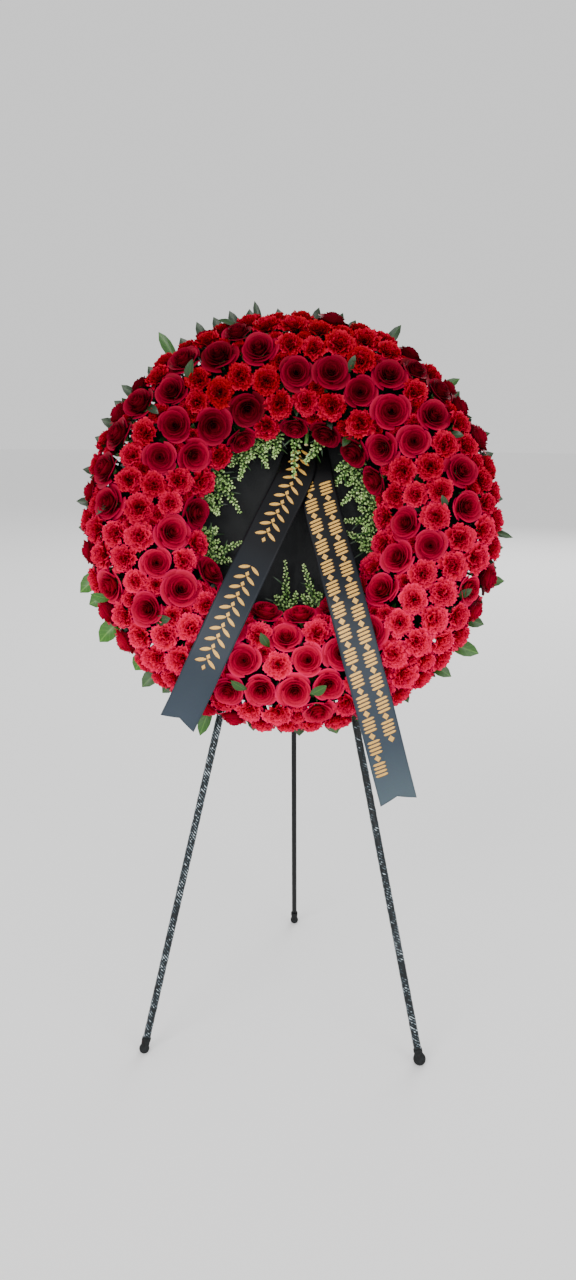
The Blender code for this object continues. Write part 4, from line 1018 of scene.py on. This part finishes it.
# Side shoots of the sprigs that have a ribbon close by, as side and share of length; the others have two.
SIDE_SHOOTS = {
    2: ((-1, 0.62),),
    3: (),
    4: (),
    9: ((-1, 0.55), (1, 0.50)),
    10: ((1, 0.55), (-1, 0.50)),
}
OTHER_SHOOTS = ((-1, 0.72), (1, 0.62))
SPRIG_SOCKET = (0.2330, 0.029)
SPRIG_KNEE = (0.1810, 0.037)
POD_RADIUS = 0.0034
POD_SHAPE = Matrix.Diagonal((1.0, 0.72, 1.25, 1))
CLOTH_CLEARANCE = 0.012

# Unripe seed pod: pale waxy green, lighter towards the sprig's tip.
pod_skin = new_finish(
    "pale_seed_pod", "#b7d08f", {"Roughness": 0.5, "Specular IOR Level": 0.4, "Base Color": "tint.Color"},
    ("shade", "Attribute", {"attribute_name": "shade"}),
    ("cells", "TexNoise", {"Vector": "place.Object", "Scale": 300.0, "Detail": 2.0}),
    ("sum", "Math", {"operation": "MULTIPLY_ADD", 0: "cells.Fac", 1: 0.3, 2: "shade.Fac"}),
    ("tint", "ValToRGB", {"Fac": "sum.Value"}, ((0.10, "#4c7c34"), (0.60, "#8db463"), (1.0, "#c6dc98"))))


def grow_shoot(whole, root, knee, end, pods, draw):
    """Adds one spike to a sprig: its stalk, its pods on hair stalks and narrow leaves low on it."""
    bm, layers = new_growth("reach", "shade", "edge")

    def spoke_at(t, turn, forward):
        """The stalk's point at a share of its length, and a direction off it at an angle round it."""
        point = root * (1 - t) ** 2 + knee * 2 * t * (1 - t) + end * t ** 2
        course = ((knee - root) * (1 - t) + (end - knee) * t).normalized()
        return point, stand_up(point, course).to_3x3() @ Vector((math.cos(turn), math.sin(turn), forward))

    grow_twig(bm, [spoke_at(t, 0, 1)[0] for t in np.linspace(0, 1, 10)], 0.0012, 5, 1)
    for pod in range(pods):
        t = 0.18 + 0.82 * (pod + 0.5) / pods
        point, spoke = spoke_at(t, pod * GOLDEN + 0.5 * draw.random(), 0.55)
        stalk = (0.0130 - 0.0100 * t ** 2) * (0.7 + 0.5 * draw.random())
        size = POD_RADIUS * (1.05 - 0.45 * t) * (0.85 + 0.3 * draw.random())
        seat = point + spoke.normalized() * stalk
        seat.z = max(seat.z, CLOTH_CLEARANCE)
        hair = bmesh.ops.create_cone(bm, cap_ends=False, segments=3, radius1=0.0004, radius2=0.0004,
                                     depth=(seat - point).length,
                                     matrix=stand_up((point + seat) / 2, seat - point))["verts"]
        for face in {face for vertex in hair for face in vertex.link_faces}:
            face.material_index = 1
        made = bmesh.ops.create_uvsphere(bm, u_segments=6, v_segments=4, radius=size,
                                         matrix=stand_up(seat, spoke) @ POD_SHAPE)
        tone = 0.10 + 0.45 * draw.random() + 0.3 * t
        for vertex in made["verts"]:
            vertex[layers[1]] = tone
    for blade in range(SPRIG_BLADES):
        point, spoke = spoke_at(0.75 * blade / SPRIG_BLADES, blade * GOLDEN, 0.9)
        far = point + spoke.normalized() * (0.022 + 0.020 * draw.random())
        far.z = max(far.z, CLOTH_CLEARANCE)
        grow_leaf(bm, point, far, Vector((0.2, 0.1, 1)), 0.0019, layers, 0.10 + 0.45 * draw.random())
    for face in bm.faces:
        if face.material_index == 0 and face.verts[0][layers[0]] + face.verts[2][layers[0]] > 0:
            face.material_index = 2
    take_in(whole, bm)


for number, (degrees, sprig_tip) in enumerate(SPRIGS):
    draw = np.random.default_rng(1200 + number)
    sprig_root = clock(math.radians(degrees), *SPRIG_SOCKET)
    knee = clock(math.radians(degrees), *SPRIG_KNEE)
    end = Vector(sprig_tip)
    sprig_mesh = bmesh.new()
    grow_shoot(sprig_mesh, sprig_root, knee, end, SPRIG_PODS, draw)
    for side, share in SIDE_SHOOTS.get(number, OTHER_SHOOTS):
        swing = Matrix.Rotation(side * math.radians(14 + 6 * draw.random()), 3, "Z")
        side_end = sprig_root + swing @ ((end - sprig_root) * share)
        side_end.z = max(end.z - 0.010, 0.020)
        side_knee = sprig_root + swing @ (knee - sprig_root)
        grow_shoot(sprig_mesh, sprig_root, side_knee, side_end, round(SPRIG_PODS * share * 0.8), draw)
    dress(f"pod_sprig_{number + 1:02d}", sprig_mesh, [pod_skin, stem_green, leaf_skin], "root",
          [f"sprig_{number + 1:02d}"], WREATH)

# Cut stem: the pale end of a stem that was pushed through between the ribbons and trimmed off.
CUT_END = Vector((0.034, 0.170, 0.062))
CUT_START = Vector((0.036, 0.226, 0.040))
CUT_RADIUS = 0.0042
CUT_FACE = 0.004

# Freshly cut pith: pale straw, dull and full of pores.
pith = new_finish(
    "cut_stem_pith", "#c9b98a", {"Roughness": 0.7, "Specular IOR Level": 0.2, "Base Color": "tint.Color"},
    ("pores", "TexNoise", {"Vector": "place.Object", "Scale": 700.0, "Detail": 2.0}),
    ("tint", "ValToRGB", {"Fac": "pores.Fac"}, ((0.35, "#a8925c"), (0.65, "#d8caa0"))))

cut_mesh = bmesh.new()
round_bar(cut_mesh, CUT_START, CUT_END, CUT_RADIUS, 0.0005)
for face in cut_mesh.faces:
    face.material_index = 0 if face.calc_center_median().z > CUT_END.z - CUT_FACE else 1
dress("cut_stem", cut_mesh, [pith, stem_green], "root", matrix=WREATH)

# Ribbons: two lengths of 80 mm black satin, gathered where they are pinned at the top of the hole and laid
# over the lower blooms, each cut to a swallowtail. Satin is near black at the pin and painted slate lower
# down as sheen.
RIBBON_WIDTH = 0.080
SWALLOWTAIL = 0.016
SLOPE_REACH = 0.012
SATIN_THICKNESS = 0.0004
GOLD_LIFT = 0.00036
BRONZE_LIFT = 0.00028
FOIL_EDGE = 0.0010
LAUREL_STEP = 0.0245
BAR_STEP = 0.0168
RIBBON_CREST = 0.1695
RIBBON_LEFT = (
    (0.024, 0.2255, 0.0190, 0.40),
    (0.023, 0.200, 0.0225, 0.60),
    (0.021, 0.165, 0.0335, 0.85),
    (0.017, 0.130, 0.0500, 1.0),
    (0.006, 0.088, 0.0710, 1.0),
    (-0.030, 0.005, 0.1040, 1.0),
    (-0.068, -0.085, 0.1330, 1.0),
    (-0.108, -0.180, 0.1600, 1.0),
    (-0.136, -0.245, RIBBON_CREST, 1.0),
    (-0.165, -0.310, RIBBON_CREST, 1.0),
    (-0.194, -0.373, 0.1600, 1.0),
    (-0.222, -0.430, 0.1480, 1.0),
)
RIBBON_RIGHT = (
    (0.046, 0.2200, 0.0140, 0.40),
    (0.046, 0.200, 0.0165, 0.60),
    (0.047, 0.165, 0.0250, 0.85),
    (0.050, 0.130, 0.0390, 1.0),
    (0.058, 0.088, 0.0580, 1.0),
    (0.079, 0.000, 0.0920, 1.0),
    (0.106, -0.095, 0.1290, 1.0),
    (0.130, -0.180, 0.1600, 1.0),
    (0.148, -0.245, RIBBON_CREST, 1.0),
    (0.166, -0.310, RIBBON_CREST, 1.0),
    (0.184, -0.370, 0.1660, 1.0),
    (0.201, -0.430, 0.1560, 1.0),
    (0.223, -0.510, 0.1410, 1.0),
    (0.245, -0.588, 0.1260, 1.0),
)


class RibbonCourse:
    """The course of a ribbon: a smooth curve through its points, and its surface at any place on it."""

    def __init__(self, path, seed):
        """Reads the curve off closely along its length."""
        points = np.array(path, float)
        padded = np.vstack([2 * points[0] - points[1], points, 2 * points[-1] - points[-2]])
        rows = []
        for i in range(1, len(padded) - 2):
            a, b, c, d = padded[i - 1:i + 3]
            for t in np.linspace(0, 1, 24, endpoint=False):
                rows.append(0.5 * (2 * b + (c - a) * t + (2 * a - 5 * b + 4 * c - d) * t * t
                                   + (3 * b - a - 3 * c + d) * t ** 3))
        rows.append(points[-1])
        self.rows = np.array(rows)
        steps = np.linalg.norm(np.diff(self.rows[:, :3], axis=0), axis=1)
        self.distance = np.concatenate([[0], np.cumsum(steps)])
        self.length = self.distance[-1]
        self.seed = seed

    def at(self, t):
        """The middle line's point and the width's share at a length along the ribbon."""
        return [float(np.interp(t, self.distance, self.rows[:, i])) for i in range(4)]

    def surface(self, s, t, lift=0.0):
        """The point at s across, from -0.5 to 0.5, and t along in metres, raised off the ribbon by lift."""
        here = Vector(self.at(t)[:3])
        share = self.at(t)[3]
        near = min(max(t, SLOPE_REACH), self.length - SLOPE_REACH)
        ahead = Vector(self.at(near + SLOPE_REACH)[:3])
        along = (ahead - Vector(self.at(near - SLOPE_REACH)[:3])).normalized()
        side = Vector((-along.y, along.x, 0)).normalized()
        if side.x < 0:
            side = -side
        up = side.cross(along).normalized()
        if up.z < 0:
            up = -up
        pleat = 0.0030 * (1 - share) / 0.6 * math.cos(s * 6 * math.pi)
        wave = 0.0010 * math.sin(t * 23 + self.seed) * (2 * s) + 0.0006 * math.sin(t * 41 + 2 * self.seed)
        cup = -(0.0014 + 0.0050 * smooth_step(self.length - 0.16, self.length, t)) * (2 * s) ** 2
        beyond = max(t - self.length, 0)
        return here + along * beyond + side * (s * RIBBON_WIDTH * share) + up * (pleat + wave + cup + lift)


# Satin weave: a smooth dark face with fine slubs along it, painted slate grey as sheen further along, where
# it falls free.
satin = new_finish(
    "black_satin_ribbon", "#15181e",
    {"Anisotropic": 0.4, "Specular IOR Level": 0.2, "Base Color": "weave.2", "Roughness": "gloss.Result",
     "Normal": "bump.Normal"},
    ("uv", "UVMap", {"uv_map": "weave"}),
    ("drawn", "Mapping", {"Vector": "uv.UV", "Scale": (6.0, 420.0, 1.0)}),
    ("slubs", "TexNoise", {"Vector": "drawn.Vector", "Scale": 2.0, "Detail": 3.0}),
    ("fall", "Attribute", {"attribute_name": "fall"}),
    # Painted sheen: the satin goes from near black to slate by metres along the ribbon.
    ("run", "ValToRGB", {"Fac": "fall.Fac"},
     ((0.09, "#020203"), (0.32, "#0b0d12"), (0.58, "#2a333d"), (0.75, "#36414c"), (0.88, "#4c5a62"))),
    ("weave", "Mix", {"data_type": "RGBA", "blend_type": "MULTIPLY", "Factor": 0.35, 6: "run.Color",
                      7: "slubs.Color"}),
    ("gloss", "MapRange", {"Value": "slubs.Fac", "To Min": 0.28, "To Max": 0.48}),
    ("bump", "Bump", {"Height": "slubs.Fac", "Strength": 0.12, "Distance": 0.0002}))

# Hot-pressed foil: matt gold, with a bronze one a little lower that shades each mark's edge.
gold_foil, bronze_foil = [new_finish(
    name, colour, {"Roughness": 0.42, "Metallic": metal, "Base Color": "tint.Color"},
    ("grain", "TexNoise", {"Vector": "place.Object", "Scale": 500.0, "Detail": 3.0}),
    ("tint", "ValToRGB", {"Fac": "grain.Fac"}, ((0.3, dark), (0.7, light))))
    for name, colour, metal, dark, light in (
        ("gold_foil_print", "#c99c4c", 0.25, "#c08c34", "#deb05a"),
        ("bronze_foil_shade", "#6a4a16", 0.3, "#4a330d", "#70501c"))]


def press_foil(bm, course, across, along, long_half, wide_half, turn, point, lift, material):
    """Adds one foil mark on a ribbon: a bar, lozenge or leaf whose ends narrow as point says, from 1 to 8."""
    made = bmesh.ops.create_grid(bm, x_segments=2, y_segments=8, size=0.5)
    for vertex in made["verts"]:
        y = 2 * vertex.co.y
        x = 2 * vertex.co.x * max(1 - abs(y) ** point, 0.03) ** (0.75 if point > 1 else 1)
        dx = x * wide_half * math.cos(turn) - y * long_half * math.sin(turn)
        dy = x * wide_half * math.sin(turn) + y * long_half * math.cos(turn)
        vertex.co = course.surface((across + dx) / RIBBON_WIDTH, along + dy, lift)
    for face in {f for v in made["verts"] for f in v.link_faces}:
        face.material_index = material


def cut_ribbon(name, path, seed, node, marks):
    """Makes a ribbon with its foil ornament."""
    course = RibbonCourse(path, seed)
    strip = bmesh.new()
    fall = strip.verts.layers.float.new("fall")
    strip.loops.layers.uv.new("weave")
    bmesh.ops.create_grid(strip, x_segments=16, y_segments=150, size=0.5, calc_uvs=True)
    for vertex in strip.verts:
        s = vertex.co.x
        t = (vertex.co.y + 0.5) * (course.length + SWALLOWTAIL * abs(2 * s))
        # The metres along also set the painted sheen, slate towards the ribbon's lower end.
        vertex[fall] = t
        vertex.co = course.surface(s, t)
    bmesh.ops.recalc_face_normals(strip, faces=strip.faces[:])
    ribbon = dress(name, strip, [satin], "root", [node], WREATH)
    thickness = ribbon.modifiers.new("thickness", "SOLIDIFY")
    thickness.thickness = SATIN_THICKNESS
    thickness.offset = 0
    foil = bmesh.new()
    for across, along, *mark in marks:
        press_foil(foil, course, across + FOIL_EDGE, along + FOIL_EDGE, *mark, BRONZE_LIFT, 1)
        press_foil(foil, course, across, along, *mark, GOLD_LIFT, 0)
    ornament = dress(name + "_ornament", foil, [gold_foil, bronze_foil], "root", matrix=WREATH)


# A mark's place across and along its ribbon, its half length and half width, its turn and its point.
left_marks = []
for start, end in ((0.070, 0.315), (0.375, 0.605)):
    place = start
    while place < end:
        left_marks += [(-0.0125, place, 0.0125, 0.0036, math.radians(62), 2.0),
                       (0.0125, place, 0.0125, 0.0036, math.radians(-62), 2.0),
                       (0.0, place + 0.0125, 0.0060, 0.0045, 0.0, 1.0)]
        place += LAUREL_STEP
right_marks = []
for row, start, end in ((-0.0200, 0.085, 0.815), (0.0180, 0.150, 0.750)):
    place = start
    count = 0
    while place < end:
        if count % 3 == 2:
            right_marks.append((row, place, 0.0076, 0.0070, 0.0, 1.0))
        else:
            right_marks += [(row, place + shift, 0.0140, 0.0025, math.radians(80), 8.0)
                            for shift in (-0.0042, 0.0042)]
        place += BAR_STEP
        count += 1
cut_ribbon("satin_ribbon_left", RIBBON_LEFT, 1, "ribbon_left", left_marks)
cut_ribbon("satin_ribbon_right", RIBBON_RIGHT, 2, "ribbon_right", right_marks)
